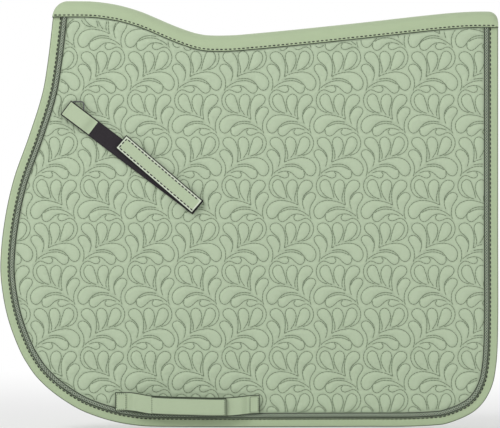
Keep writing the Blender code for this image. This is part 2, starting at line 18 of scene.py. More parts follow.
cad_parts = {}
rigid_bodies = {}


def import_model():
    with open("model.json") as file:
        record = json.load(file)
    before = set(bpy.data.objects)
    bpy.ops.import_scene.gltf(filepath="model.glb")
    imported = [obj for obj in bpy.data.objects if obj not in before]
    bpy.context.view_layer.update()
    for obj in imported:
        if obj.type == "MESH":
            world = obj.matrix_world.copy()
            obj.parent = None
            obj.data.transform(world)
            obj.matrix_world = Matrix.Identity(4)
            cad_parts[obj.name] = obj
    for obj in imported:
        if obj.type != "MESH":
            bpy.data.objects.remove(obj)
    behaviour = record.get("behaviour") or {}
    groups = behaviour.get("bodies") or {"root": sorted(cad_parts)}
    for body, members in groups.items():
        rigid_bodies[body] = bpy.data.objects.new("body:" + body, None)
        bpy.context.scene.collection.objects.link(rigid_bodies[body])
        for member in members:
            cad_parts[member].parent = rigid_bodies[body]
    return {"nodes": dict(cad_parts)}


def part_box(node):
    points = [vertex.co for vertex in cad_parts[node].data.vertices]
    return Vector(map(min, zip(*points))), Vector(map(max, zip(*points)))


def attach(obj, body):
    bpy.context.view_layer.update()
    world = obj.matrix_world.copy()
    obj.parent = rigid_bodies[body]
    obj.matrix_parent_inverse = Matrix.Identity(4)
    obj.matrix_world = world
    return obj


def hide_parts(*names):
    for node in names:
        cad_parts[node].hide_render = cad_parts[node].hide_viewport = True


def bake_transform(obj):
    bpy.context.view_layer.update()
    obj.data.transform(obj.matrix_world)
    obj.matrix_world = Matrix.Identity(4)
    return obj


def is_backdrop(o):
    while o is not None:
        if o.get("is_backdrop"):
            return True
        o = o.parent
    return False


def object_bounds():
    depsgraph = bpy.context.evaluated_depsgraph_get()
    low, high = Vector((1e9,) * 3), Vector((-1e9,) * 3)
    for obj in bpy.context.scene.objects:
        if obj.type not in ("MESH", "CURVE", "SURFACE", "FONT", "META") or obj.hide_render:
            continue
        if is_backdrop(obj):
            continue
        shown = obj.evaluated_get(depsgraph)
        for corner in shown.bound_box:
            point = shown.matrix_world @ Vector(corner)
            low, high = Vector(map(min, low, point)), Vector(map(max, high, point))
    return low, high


for old in list(bpy.data.objects):
    bpy.data.objects.remove(old, do_unlink=True)
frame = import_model()
CAD_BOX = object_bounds()

MM = 0.001
SIDES = ((-1.0, "left_"), (1.0, "right_"))

# Distances from the middle plane
INNER = 8.0 * MM
LINING_BACK = 8.8 * MM
FOAM_FACE = 9.1 * MM
FOAM_OUTER = 12.1 * MM
QUILT_BACK = 12.4 * MM
EDGE_FACE = 13.6 * MM
CHANNEL_FACE = 14.3 * MM
BAND_SEAM_FACE = 15.4 * MM
OUTER = 16.4 * MM
SEAT = 16.7 * MM
GIRTH_SEAT = 18.0 * MM
CLEAR = 0.3 * MM

# Distances inward from the pad's free edge
LAYER_INSET = 1.1 * MM
BINDING_WIDTH = 11.0 * MM
CORD_OFFSET = 15.1 * MM
FIELD_OFFSET = 18.0 * MM
FIELD_ROLL = 9.0 * MM

# Distance below the band over which the quilting levels out
BAND_ROLL = 14.0 * MM

# Binding's section, and the faces of its two sides
BINDING_FACES = (6.9 * MM, 14.7 * MM)
BINDING_FOLD = 2.6 * MM
BINDING_CLOTH = 0.8 * MM

# Cord's section: a plait over a round core on a flat base
CORD_MIDDLE = 15.75 * MM
CORD_WIDE, CORD_HIGH = 2.3 * MM, 1.6 * MM
CORD_HALF = 3.35 * MM
CORD_STRANDS = 4
CORD_TURN = 14.4 * MM

# Spine band
BAND_HEIGHT = 21.5 * MM
BAND = 0.8 * MM
BAND_HALF = 17.1 * MM
FRONT_ROUND = (20.0 * MM, 21.0 * MM)
REAR_ROUND = (12.0 * MM, 12.0 * MM)

# The sides bend between these heights as they fold out
BEND_END = -74.0 * MM
FINE_LATTICE, COARSE_LATTICE = 5.0 * MM, 14.0 * MM

# Quilting: columns and mirrored rows of feather plumes
PLUME_PITCH = 61.2 * MM
PLUME_ROW = 55.5 * MM
PLUME_X = 88.3 * MM
PLUME_Z = -95.9 * MM
# One plume's lines in millimetres from its middle, with rounded tips and sharp feet
PLUME = (
    ((-8, 2.5), (-13, 4.1), (-17.9, 7.4), (-22.1, 12.4), (-24.2, 18.2), (-23, 24.2), (-17.1, 27.8),
     (-12.1, 24.9), (-9.7, 18.2), (-8, 13.3), (-6.3, 5.8), (-4.3, 0)),
    ((0.7, 0.4), (-3, 5.8), (-5.1, 10.8), (-6.3, 17.4), (-4, 24.4), (1.5, 27.5), (6.6, 24.9), (7.8, 18.2),
     (6.1, 11.6), (4.4, 4.1), (5.3, -2.5)),
    ((9, -5.4), (8, 1), (7.8, 8.3), (9, 15.7), (12.7, 23.2), (19, 26.9), (25.2, 25.3), (27.7, 20.7),
     (25.2, 14.9), (20.2, 10.8), (15.9, 5.8), (14.6, -1.7), (15.6, -7.5), (17.3, -12.4)),
    ((25.6, -23.6), (24.3, -19.9), (23.9, -13.3), (25.2, -6.6), (29.3, 0), (31.8, 4.8), (30.6, 9),
     (26, 10.9), (21, 9.1), (16.9, 4.1), (15.2, -2.5), (15.9, -8.3), (17.7, -12.9)),
    ((9, -5.4), (1.1, -2.1), (-6.3, -0.2), (-14.6, 0.6), (-22.9, -1.3), (-28.9, -5.8), (-31.9, -11.6),
     (-31.6, -17.4), (-28.9, -22), (-24.6, -23.4), (-19.6, -20.7), (-15.5, -14.9), (-10.5, -10.4),
     (-3, -7.9), (5.3, -8.3), (11.9, -10)),
    ((25.6, -23.2), (21, -18.3), (14.4, -14.1), (7.8, -11.6), (-2.2, -10.8), (-9.7, -12.9), (-15, -15.9),
     (-17.3, -20.2), (-16.2, -24.8), (-12.6, -27.1), (-8.8, -26.5), (-4.7, -23.2), (0.3, -18.7),
     (6.1, -17), (11.9, -17.4), (17.3, -19.5)),
    ((17.3, -19.5), (11.9, -17.4), (6.1, -17.8), (3.2, -20.9), (4, -24.3), (7.8, -26.1), (12.7, -24.9),
     (18.5, -22.4), (23.5, -24.5), (27.2, -29), (28.9, -35.7), (27.7, -42.3), (24.3, -47.7), (19, -51),
     (10.2, -52.7)),
)
FIELD_STEP = 2.3 * MM
LINING_STEP = 4.2 * MM
PILLOW = 2.0 * MM
PILLOW_DRIFT = 1.2 * MM
LINING_PILLOW = 0.7 * MM

# Stitching
STITCH_PITCH = 5.7 * MM
STITCH_LENGTH = 3.7 * MM
FLAP_STITCH_LENGTH = 4.2 * MM
FINE_PITCH = 2.6 * MM
FINE_LENGTH = 1.7 * MM
QUILT_STITCH_PITCH = 4.1 * MM
QUILT_STITCH_LENGTH = 3.9 * MM

# Half the width of the thread in each seam
BINDING_SEAM = 0.72 * MM
BAND_SEAM = 0.75 * MM
FLAP_SEAM = 0.8 * MM
GIRTH_SEAM = 0.45 * MM
QUILT_SEAM = 0.4 * MM
TAB_SEAM = 0.3 * MM

# Upper strap and its flap, as the solids have them
STRAP_AT = (-203.85 * MM, -86.0 * MM)
STRAP_ANGLE = math.radians(37.1)
STRAP_LENGTH = 214.2 * MM
STRAP_WIDTH = 23.0 * MM
STRAP_EDGE = 1.0 * MM
EYE_DEPTH = 4.3 * MM
LIFTED_LENGTH = 30.0 * MM
RAMP_LENGTH = 13.0 * MM
END_LENGTH = 4.0 * MM
COVER_LENGTH = 45.0 * MM
WEBBING = 1.0 * MM
STRAP_CLOTH = 0.8 * MM
FLAP_ANGLE = math.radians(40.6)
FLAP_LENGTH = 131.0 * MM
FLAP_WIDTH = 22.0 * MM
FLAP_MARGIN = 5.0 * MM

# Hook tape: its back, and one hook's height in millimetres by the distance along
HOOK_BACK = 0.32 * MM
HOOK_PITCH = 1.7 * MM
HOOK_HALF = 0.12 * MM
HOOK = ((0.0, 0.0), (0.0, 0.28), (0.12, 0.42), (0.3, 0.44), (0.42, 0.34))

# Girth loop
GIRTH_FRONT_X = -140.0 * MM
GIRTH_LENGTH = 187.3 * MM
GIRTH_Z = -467.2 * MM
GIRTH_WIDTH = 24.4 * MM
GIRTH_WEBBING = 1.4 * MM
GIRTH_TAPE = 0.8 * MM
GIRTH_SEWN_FRONT = 15.2 * MM
GIRTH_SEWN_REAR = 13.5 * MM
GIRTH_OVERLAP = 96.4 * MM
GIRTH_FREE_END = 43.1 * MM
GIRTH_RISE = 10.5 * MM
GIRTH_BOW = 5.8 * MM
GIRTH_SAG = 6.6 * MM
SAG_SHAPE = ((0.0, 0.0), (0.12, 0.0), (0.25, 0.6), (0.5, 0.9), (0.77, 1.0), (0.93, 0.6), (1.0, 0.5))

# Stage and camera
FLOOR_RADIUS = 3.2
VIEW_WIDTH = 0.648
VIEW_X, VIEW_Z = 0.0348, -0.224


# Curves in a plane, as rows of X and Z


def run_lengths(path):
    """Distance along a path of each of its points."""
    return np.r_[0.0, np.cumsum(np.linalg.norm(np.diff(path, axis=0), axis=1))]


def at_lengths(path, lengths, at):
    """The path's points at given distances along it."""
    return np.column_stack([np.interp(at, lengths, column) for column in path.T])


def spaced(line, step):
    """The line's points at even steps, with its ends kept."""
    lengths = run_lengths(line)
    count = max(1, round(lengths[-1] / step))
    return at_lengths(line, lengths, np.linspace(0.0, lengths[-1], count + 1))


def unit(vectors):
    return vectors / np.linalg.norm(vectors, axis=-1, keepdims=True)


def smooth(points, step):
    """Evenly spaced points along Bezier curves through the given ones."""
    p = np.asarray(points, float)
    tangents = unit(np.gradient(p, axis=0))
    t = np.linspace(0.0, 1.0, 25)[1:, None]
    line = [p[:1]]
    for i in range(len(p) - 1):
        reach = np.linalg.norm(p[i + 1] - p[i]) / 3
        out, back = p[i] + tangents[i] * reach, p[i + 1] - tangents[i + 1] * reach
        near = p[i] * (1 - t) ** 3 + 3 * out * t * (1 - t) ** 2
        line.append(near + 3 * back * t**2 * (1 - t) + p[i + 1] * t**3)
    return spaced(np.concatenate(line), step)


def normals(path):
    """Unit normals to the left of a path."""
    along = unit(np.gradient(path, axis=0))
    return np.column_stack([-along[:, 1], along[:, 0]])


def offset(path, distance):
    return path + normals(path) * distance


def smoothstep(low, high, x):
    t = np.clip((x - low) / (high - low), 0.0, 1.0)
    return t * t * (3 - 2 * t)


def hermite(points, x):
    """Smooth height at x through points sorted by x, level at both ends."""
    xs, ys = np.array(points).T
    slopes = np.zeros(len(xs))
    slopes[1:-1] = (ys[2:] - ys[:-2]) / (xs[2:] - xs[:-2])
    x = np.clip(x, xs[0], xs[-1])
    i = np.clip(np.searchsorted(xs, x, side="right") - 1, 0, len(xs) - 2)
    span = xs[i + 1] - xs[i]
    t = (x - xs[i]) / span
    start = (2 * t**3 - 3 * t**2 + 1) * ys[i] + (t**3 - 2 * t**2 + t) * span * slopes[i]
    return start + (3 * t**2 - 2 * t**3) * ys[i + 1] + (t**3 - t**2) * span * slopes[i + 1]


def inside(points, loop):
    """Which points lie inside a closed loop."""
    found = np.zeros(len(points), bool)
    for (ax, az), (bx, bz) in zip(loop, np.roll(loop, -1, axis=0)):
        if az != bz:
            spans = (points[:, 1] >= min(az, bz)) & (points[:, 1] < max(az, bz))
            found ^= spans & (points[:, 0] < ax + (points[:, 1] - az) * (bx - ax) / (bz - az))
    return found


def tree_of(points):
    tree = KDTree(len(points))
    for i, (x, z) in enumerate(points):
        tree.insert((x, z, 0.0), i)
    tree.balance()
    return tree


def nearness(points, tree):
    """Distance of each point to the nearest one in the tree."""
    return np.array([tree.find((x, z, 0.0))[2] for x, z in points])


# The pad's outline, read from its solids


def rim(node, height):
    """The ordered outline of a solid's flat face at that distance from the middle plane."""
    mesh = frame["nodes"][node].data
    keys = [tuple(round(c, 6) for c in vert.co) for vert in mesh.vertices]
    uses = Counter()
    for face in mesh.polygons:
        corners = [keys[i] for i in face.vertices]
        if all(abs(abs(c[1]) - height) < 0.01 * MM for c in corners):
            uses.update(frozenset(pair) for pair in zip(corners, corners[1:] + corners[:1]))
    links = {}
    for (a, b), count in uses.items():
        if count == 1:
            links.setdefault(a, []).append(b)
            links.setdefault(b, []).append(a)
    loop, before = [min(links)], None
    while True:
        ahead = next(c for c in links[loop[-1]] if c != before)
        if ahead == loop[0]:
            return np.array([(x, z) for x, y, z in loop])
        before = loop[-1]
        loop.append(ahead)


def outline_paths():
    """The layers' free edge, from the front down and round to the rear, and their top edge."""
    loop = rim("left_lining", INNER)
    along = np.roll(loop, -1, axis=0) - loop
    heading = np.arctan2(along[:, 1], along[:, 0])
    turn = (heading - np.roll(heading, 1) + math.pi) % math.tau - math.pi
    first, second = sorted(np.argsort(-abs(turn))[:2])
    parts = [loop[first : second + 1], np.concatenate([loop[second:], loop[: first + 1]])]
    parts = [part if part[0][0] < part[-1][0] else part[::-1] for part in parts]
    return sorted(parts, key=lambda part: part[:, 1].mean())


def band_foot():
    """Stations of the spine band's lower edge: its ends, and where it is full height."""
    heights = {}
    for vert in frame["nodes"]["spine_binding"].data.vertices:
        heights.setdefault(round(vert.co.x, 6), []).append(vert.co.z)
    xs = sorted(heights)
    full = [x for x in xs if max(heights[x]) - min(heights[x]) > BAND_HEIGHT - 0.1 * MM]
    return np.array([(x, min(heights[x])) for x in [xs[0], *full, xs[-1]]])


LAYER_EDGE, LAYER_TOP = outline_paths()
FOOT_LINE = band_foot()
FIRST_X, LAST_X = FOOT_LINE[0, 0], FOOT_LINE[-1, 0]


def foot(x):
    """Height of the spine band's lower edge."""
    return hermite(FOOT_LINE, x)


def under_foot(path, lift=0.0):
    """The stretch of a free path that lies below the band's foot, raised by lift."""
    fine = spaced(path, 0.1 * MM)
    return fine[fine[:, 1] < foot(fine[:, 0]) + lift]


def free_path(reach):
    """The pad's free edge, carried on past the layers' top by reach."""
    path = offset(smooth(LAYER_EDGE, 1.0 * MM), -LAYER_INSET)
    start = path[0] + unit(path[0] - path[1]) * reach
    end = path[-1] + unit(path[-1] - path[-2]) * reach
    return spaced(np.concatenate([[start], path, [end]]), 1.0 * MM)


EDGE = free_path(6.0 * MM)
EDGE_TREE = tree_of(spaced(EDGE, 0.5 * MM))


# Pieces


def lifted(plan, out):
    """Points in space from rows of X and Z, at distances out from the middle plane."""
    return np.column_stack([plan[:, 0], np.zeros(len(plan)) - out, plan[:, 1]])


def wall(a, b):
    """Faces between two rings of point numbers."""
    size = len(a)
    return [(a[i], a[(i + 1) % size], b[(i + 1) % size], b[i]) for i in range(size)]


class Shape:
    """Points, faces, cloth coordinates and dark tone of one piece, before it is a mesh."""

    def __init__(self):
        self.points, self.faces, self.cloth, self.tone = [], [], [], []

    def add(self, points, cloth, tone=None, faces=()):
        start = len(self.points)
        self.points += [tuple(p) for p in points]
        self.faces += [tuple(start + i for i in face) for face in faces]
        self.cloth += [tuple(c) for c in cloth]
        self.tone += [0.0] * len(points) if tone is None else list(tone)
        return self

    def tube(self, stations, section, closed=False):
        """A tube of the section's (point, cloth, tone) corners at each station, capped unless closed."""
        sections = [list(section(at)) for at in stations]
        count = len(sections[0])
        rings = [range(i * count, (i + 1) * count) for i in range(len(sections))]
        ahead = rings[1:] + rings[:1] if closed else rings[1:]
        faces = [face for a, b in zip(rings, ahead) for face in wall(a, b)]
        if not closed:
            faces += [rings[0][::-1], rings[-1]]
        return self.add(*zip(*(corner for corners in sections for corner in corners)), faces=faces)


def new_mesh(name, points, faces):
    mesh = bpy.data.meshes.new(name)
    mesh.from_pydata(np.array(points, float).tolist(), [], faces)
    return mesh


def placed(name, data):
    """A new object in the scene."""
    thing = bpy.data.objects.new(name, data)
    bpy.context.scene.collection.objects.link(thing)
    return thing


def make(name, shape, side, material, sharp):
    """One piece from a left-side shape, mirrored where side is 1."""
    faces = shape.faces if side < 0 else [face[::-1] for face in shape.faces]
    mesh = new_mesh(name, np.array(shape.points, float) * (1.0, -side, 1.0), faces)
    cloth = mesh.attributes.new("cloth", "FLOAT_VECTOR", "POINT")
    cloth.data.foreach_set("vector", np.array(shape.cloth, np.float32).ravel())
    tone = mesh.attributes.new("tone", "FLOAT", "POINT")
    tone.data.foreach_set("value", np.array(shape.tone, np.float32))
    bm = bmesh.new()
    bm.from_mesh(mesh)
    bmesh.ops.recalc_face_normals(bm, faces=bm.faces)
    bm.to_mesh(mesh)
    bm.free()
    mesh.materials.append(material)
    mesh.shade_smooth()
    mesh.set_sharp_from_angle(angle=math.radians(sharp))
    piece = placed(name, mesh)
    return piece


def both_sides(name, shape, material, body=None, node=None, sharp=40):
    """The left and right pieces of a shape. Without a body, their placement is baked into their points."""
    made = []
    for side, prefix in SIDES:
        piece = make(prefix + name, shape, side, material, sharp)
        if body:
            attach(piece, prefix + body)
        else:
            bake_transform(piece)
        if node:
            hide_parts(node if node.startswith("spine") else prefix + node)
        made.append(piece)
    return made


# Materials


class Nodes:
    """Short ways to make and link the nodes of a material or a world."""

    def __init__(self, owner):
        owner.use_nodes = True
        self.owner, self.tree = owner, owner.node_tree

    def put(self, value, socket):
        """Links an output to a socket, or sets the socket to a constant."""
        if isinstance(value, bpy.types.NodeSocket):
            self.tree.links.new(value, socket)
        else:
            socket.default_value = value

    def fill(self, node, values):
        """Fills a node's named inputs, with underscores for the spaces in their names."""
        for key, value in values.items():
            self.put(value, node.inputs[key.replace("_", " ")])

    def add(self, kind, **values):
        node = self.tree.nodes.new("ShaderNode" + kind)
        for key in [key for key in values if hasattr(node, key)]:
            setattr(node, key, values.pop(key))
        self.fill(node, values)
        return node

    def math(self, operation, a, b=0.0):
        node = self.add("Math", operation=operation)
        self.put(a, node.inputs[0])
        self.put(b, node.inputs[1])
        return node.outputs[0]

    def mix(self, factor, a, b):
        node = self.add("Mix", data_type="RGBA")
        for i, value in ((0, factor), (6, a), (7, b)):
            self.put(value, node.inputs[i])
        return node.outputs[2]

    def mix_shaders(self, share, first, second, output):
        """Sends a mix of two shaders to the named output node."""
        node = self.add("MixShader")
        for i, value in enumerate((share, first.outputs[0], second.outputs[0])):
            self.put(value, node.inputs[i])
        self.put(node.outputs[0], self.tree.nodes[output].inputs[0])


class Surface(Nodes):
    """A new material that reads its piece's cloth coordinates and tone."""

    def __init__(self, name):
        super().__init__(bpy.data.materials.new(name))
        self.shader = self.tree.nodes["Principled BSDF"]
        self.cloth = self.add("Attribute", attribute_name="cloth").outputs["Vector"]
        self.tone = self.add("Attribute", attribute_name="tone").outputs["Fac"]
        self.along, self.across = self.add("SeparateXYZ", Vector=self.cloth).outputs[:2]

    def noise(self, scale, detail, rough):
        node = self.add("TexNoise", Vector=self.cloth, Scale=scale, Detail=detail, Roughness=rough)
        return node.outputs["Fac"]

    def sine(self, value, turn):
        return self.math("SINE", self.math("MULTIPLY", value, turn))

    def finish(self, height, distance, strength, **values):
        """Adds the relief and the shader's other inputs, and gives the material."""
        bump = self.add("Bump", Distance=distance, Strength=strength, Height=height)
        self.fill(self.shader, dict(values, Normal=bump.outputs["Normal"]))
        return self.owner


def linear(red, green, blue):
    """A colour given as a screen shows it, 0 to 255."""
    channels = [c / 255 for c in (red, green, blue)]
    channels = [c / 12.92 if c <= 0.04045 else ((c + 0.055) / 1.055) ** 2.4 for c in channels]
    return (*channels, 1.0)


def shade(colour, factor):
    return (*[c * factor for c in colour[:3]], 1.0)


def cloth_material(name, colour, dark, thread, relief=1.0):
    """Woven cloth: over and under threads, mottled yarn, and a dark tone where it is set."""
    m = Surface(name)
    turn = math.pi / thread
    weave = m.math("ABSOLUTE", m.math("MULTIPLY", m.sine(m.along, turn), m.sine(m.across, turn)))
    yarn = m.math("MULTIPLY", m.noise(0.35 / thread, 3.0, 0.6), 0.6)
    light = m.math("ADD", yarn, m.math("MULTIPLY", m.noise(28.0, 2.0, 0.5), 0.4))
    base = m.mix(light, shade(colour, 0.94), shade(colour, 1.06))
    woven = m.mix(m.math("MULTIPLY", weave, 0.16), base, shade(colour, 1.12))
    return m.finish(
        m.math("ADD", weave, yarn), 0.12 * MM * relief, 0.6, Base_Color=m.mix(m.tone, woven, dark),
        Roughness=0.85, Sheen_Weight=0.15, Sheen_Roughness=0.5, Specular_IOR_Level=0.25,
    )


def ribbed_material(name, colour, dark, rib=0.9 * MM):
    """Webbing: ribs across it and fine warp along it, pale where its tone is negative."""
    m = Surface(name)
    ribs = m.math("ABSOLUTE", m.sine(m.along, math.pi / rib))
    warp = m.math("ABSOLUTE", m.sine(m.across, math.pi / (rib * 0.6)))
    yarn = m.noise(0.4 / rib, 3.0, 0.6)
    base = m.mix(yarn, shade(colour, 0.94), shade(colour, 1.06))
    ribbed = m.mix(m.math("MULTIPLY", ribs, 0.14), base, shade(colour, 1.15))
    pale = m.mix(m.math("MULTIPLY", m.tone, -1.0), ribbed, PALE)
    return m.finish(
        m.math("ADD", m.math("MULTIPLY", ribs, warp), yarn), 0.15 * MM, 0.6,
        Base_Color=m.mix(m.tone, pale, dark), Roughness=0.8, Sheen_Weight=0.12, Specular_IOR_Level=0.3,
    )


def thread_material(name, colour, rough=0.6):
    """Twisted sewing thread."""
    m = Surface(name)
    angle = m.math("ADD", m.math("MULTIPLY", m.along, 9000.0), m.across)
    twist = m.math("ABSOLUTE", m.math("SINE", angle))
    colours = m.mix(twist, shade(colour, 0.75), shade(colour, 1.15))
    return m.finish(twist, 0.05 * MM, 0.5, Base_Color=colours, Roughness=rough)


def pile_material(name, colour, scale, rough=0.95, distance=0.3 * MM, spread=0.35, sheen=0.1):
    """Fuzz, wadding or foam: a cellular surface without a direction."""
    m = Surface(name)
    cells = m.add("TexVoronoi", Vector=m.cloth, Scale=scale).outputs["Distance"]
    noise = m.noise(scale * 0.35, 4.0, 0.65)
    colours = m.mix(noise, shade(colour, 1 - spread), shade(colour, 1 + spread))
    return m.finish(
        m.math("MULTIPLY", cells, noise), distance, 0.8, Base_Color=colours,
        Roughness=rough, Sheen_Weight=sheen, Specular_IOR_Level=0.2,
    )


def steel_material(name, colour):
    """Nickel-plated wire with fine drawing marks."""
    m = Surface(name)
    marks = m.noise(900.0, 3.0, 0.6)
    colours = m.mix(marks, shade(colour, 0.8), shade(colour, 1.15))
    rough = m.math("ADD", m.math("MULTIPLY", marks, 0.2), 0.2)
    return m.finish(marks, 0.02 * MM, 0.3, Base_Color=colours, Metallic=1.0, Roughness=rough)


SAGE = linear(184, 200, 168)
# Painted shade: near-black green that the tape cloth and the girth webbing take along their edges and folds
PAINTED_EDGE_SHADE = linear(46, 56, 42)
BLACK = linear(28, 26, 28)
PALE = linear(226, 232, 218)
# The darker second colours of the quilt and lining cloths are painted shade, laid along their stitched
# channels
QUILT_CLOTH = cloth_material("quilt_cloth", linear(188, 204, 175), linear(122, 137, 110), 0.55 * MM)
TAPE_CLOTH = cloth_material("tape_cloth", linear(179, 196, 160), PAINTED_EDGE_SHADE, 0.5 * MM, relief=0.8)
LINING_CLOTH = cloth_material("lining_cloth", linear(222, 222, 212), linear(176, 178, 166), 0.6 * MM)
# The strap webbing's dark tone, black, is painted shade along its edges, its sewn end and its fold
WEB = ribbed_material("strap_web", SAGE, BLACK)
GIRTH_WEB = ribbed_material("girth_web", SAGE, PAINTED_EDGE_SHADE)
BLACK_WEB = ribbed_material("black_web", linear(44, 41, 44), BLACK)
QUILT_THREAD = thread_material("quilt_thread", linear(98, 114, 88))
BLACK_THREAD = thread_material("black_thread", linear(26, 26, 26))
DARK_THREAD = thread_material("dark_thread", linear(48, 58, 44))
CORD_YARN = thread_material("cord_yarn", linear(160, 172, 152), 0.7)
# Near black, painted shade: the cord's core and base show in the gaps between the yarns and as dark lines
# along both sides
CORD_CORE = pile_material("cord_core", linear(36, 44, 34), 1500.0)
LOOP_PILE = pile_material("loop_pile", linear(50, 46, 50), 1100.0, distance=0.5 * MM, spread=0.25)
HOOKS = pile_material("hook_plastic", linear(40, 38, 42), 700.0, rough=0.5, distance=0.05 * MM)
FOAM = pile_material("foam", linear(226, 220, 190), 1400.0, distance=0.4 * MM, spread=0.06)
WADDING = pile_material("wadding", linear(228, 228, 222), 500.0, distance=0.8 * MM, spread=0.08, sheen=0.3)
NICKEL = steel_material("nickel", linear(120, 122, 124))


# Quilted layers


def plume_lines():
    """Every stitched line of the quilting, each as evenly spaced points."""
    lines = []
    for row in range(-8, 4):
        flip = -1.0 if row % 2 else 1.0
        for column in range(-7, 6):
            middle = np.array((PLUME_X + column * PLUME_PITCH, PLUME_Z + row * PLUME_ROW))
            lines += [smooth(np.array(line) * (flip * MM, MM) + middle, 0.4 * MM) for line in PLUME]
    return lines


def field_loop(step):
    """The quilted field's edge: inside the cord and below the band."""
    free = under_foot(offset(EDGE, FIELD_OFFSET), -CLEAR)
    xs = np.arange(free[-1, 0], free[0, 0], -1.0 * MM)
    top = np.column_stack([xs, foot(xs) - CLEAR])
    free, top = spaced(free, step), spaced(np.concatenate([top, free[:1]]), step)
    return np.concatenate([free, top[1:-1]])


def layer_loop(step):
    """The layers' outline."""
    free = spaced(smooth(LAYER_EDGE, step), step)
    top = spaced(smooth(LAYER_TOP, step), step)[::-1]
    return np.concatenate([free, top[1:-1]])


class Cells:
    """Points sorted into square cells, to find the ones near a place."""

    def __init__(self, size):
        self.size, self.cells = size, {}

    def key(self, p):
        return int(p[0] // self.size), int(p[1] // self.size)

    def place(self, p):
        self.cells.setdefault(self.key(p), []).append(p)

    def near(self, p, reach):
        """Whether a placed point lies within reach, at most a cell's size, of p."""
        u, v = self.key(p)
        around = [(u + a, v + b) for a in (-1, 0, 1) for b in (-1, 0, 1)]
        found = (q for key in around for q in self.cells.get(key, ()))
        return any((p[0] - q[0]) ** 2 + (p[1] - q[1]) ** 2 < reach**2 for q in found)


def thinned(points, least, kept):
    """The points in order, without those within a distance of a kept or chosen one."""
    cells, chosen = Cells(least), []
    for p in kept:
        cells.place(p)
    for p in points:
        if not cells.near(p, least):
            cells.place(p)
            chosen.append(p)
    return np.array(chosen)


def seat_level(points):
    """Height of the stitched channels: low at the free edges, higher under the band."""
    from_edge = nearness(points, EDGE_TREE)
    free = smoothstep(FIELD_OFFSET - 1 * MM, FIELD_OFFSET + FIELD_ROLL, from_edge)
    depth = foot(points[:, 0]) - points[:, 1]
    band = (BAND_SEAM_FACE - CHANNEL_FACE) * (1 - smoothstep(0.0, BAND_ROLL, depth))
    return EDGE_FACE + (CHANNEL_FACE - EDGE_FACE + band) * free


def lattice(loop, step, keep_off, top=math.inf, bottom=-math.inf):
    """Evenly spaced points inside a loop, away from the points in keep_off."""
    low, high = loop.min(0), loop.max(0)
    rows = np.arange(low[1], high[1], step * 0.87)
    columns = np.arange(low[0], high[0], step)
    grid = np.array([(x + step / 2 * (k % 2), z) for k, z in enumerate(rows) for x in columns])
    grid = grid[(grid[:, 1] > bottom) & (grid[:, 1] <= top)]
    grid = grid[inside(grid, loop)]
    return grid[nearness(grid, tree_of(keep_off)) > step * 0.68]


def triangulated(points, rings):
    """Points, faces and where each point came from, with the rings' edges kept."""
    edges = [(ring[i], ring[(i + 1) % len(ring)]) for ring in rings for i in range(len(ring))]
    made = delaunay_2d_cdt([Vector(p) for p in points], edges, [rings[0]], 1, 0.001 * MM)
    source = np.array([min(ids) if ids else -1 for ids in made[3]])
    return np.array([tuple(p) for p in made[0]]), [tuple(face) for face in made[2]], source


def places(source, ring):
    """Where the ring's points are in a triangulation."""
    return [int(np.flatnonzero(source == i)[0]) for i in ring]


def plain_layer(loop):
    """A triangulated hidden face, with small triangles where the sides bend."""
    limit = BEND_END - 6 * MM
    fine = lattice(loop, FINE_LATTICE, loop, bottom=limit)
    coarse = lattice(loop, COARSE_LATTICE, np.concatenate([loop, fine]), top=limit)
    ring = list(range(len(loop)))
    flat, faces, source = triangulated(np.concatenate([loop, fine, coarse]), [ring])
    return flat, faces, places(source, ring)


class Field:
    """A triangulated layer whose stitched lines are held down."""

    def __init__(self, lines, step):
        seam, outer = field_loop(step), layer_loop(step * 1.6)
        on_lines = np.concatenate([spaced(line, step) for line in lines])
        on_lines = thinned(on_lines[inside(on_lines, seam)], step * 0.55, seam)
        held = np.concatenate([seam, on_lines])
        points = np.concatenate([outer, held, lattice(seam, step, held)])
        first = len(outer)
        rings = [list(range(first)), list(range(first, first + len(seam)))]
        self.flat, faces, source = triangulated(points, rings)
        self.faces = np.array(faces)
        self.outer = places(source, rings[0])
        self.free = source >= first + len(held)
        self.on_line = (source >= first + len(seam)) & ~self.free
        self.level = seat_level(self.flat)

    def membrane(self, puff, rounds=260):
        """Heights of a stretched skin with pressure under it, held at its stitches."""
        a, b = self.faces[:, (0, 1, 2)].ravel(), self.faces[:, (1, 2, 0)].ravel()
        a, b = np.unique(np.sort(np.column_stack([a, b]), axis=1), axis=0).T
        count = len(self.flat)
        degree = np.bincount(a, minlength=count) + np.bincount(b, minlength=count)
        height = np.zeros(count)
        for _ in range(rounds):
            total = np.bincount(a, height[b], count) + np.bincount(b, height[a], count)
            height = np.where(self.free, total / degree + puff, 0.0)
        return height

    def raised(self, height):
        """The layer's points at a height over its channels."""
        return lifted(self.flat, self.level + height)


def inflate(field, height):
    """Blows the cloth up between its stitches with a cloth simulation; returns the points."""
    big = 20.0
    piece = placed("inflating", new_mesh("inflating", field.raised(height) * big, field.faces.tolist()))
    held = piece.vertex_groups.new(name="held")
    held.add(np.flatnonzero(~field.free).tolist(), 1.0, "REPLACE")
    cloth = piece.modifiers.new("cloth", "CLOTH")
    for key, value in (
        ("quality", 4), ("mass", 0.4), ("tension_stiffness", 12.0), ("compression_stiffness", 12.0),
        ("shear_stiffness", 4.0), ("bending_stiffness", 0.15), ("air_damping", 4.0), ("shrink_min", -0.05),
        ("vertex_group_mass", "held"), ("use_pressure", True), ("uniform_pressure_force", 11.0),
    ):
        setattr(cloth.settings, key, value)
    cloth.settings.effector_weights.gravity = 0.0
    cloth.collision_settings.use_collision = False
    last = 16
    cloth.point_cache.frame_start, cloth.point_cache.frame_end = 1, last
    for number in range(1, last + 1):
        bpy.context.scene.frame_set(number)
    evaluated = piece.evaluated_get(bpy.context.evaluated_depsgraph_get())
    found = np.array([v.co for v in evaluated.data.vertices]) / big
    bpy.data.objects.remove(piece, do_unlink=True)
    bpy.context.scene.frame_set(1)
    return found


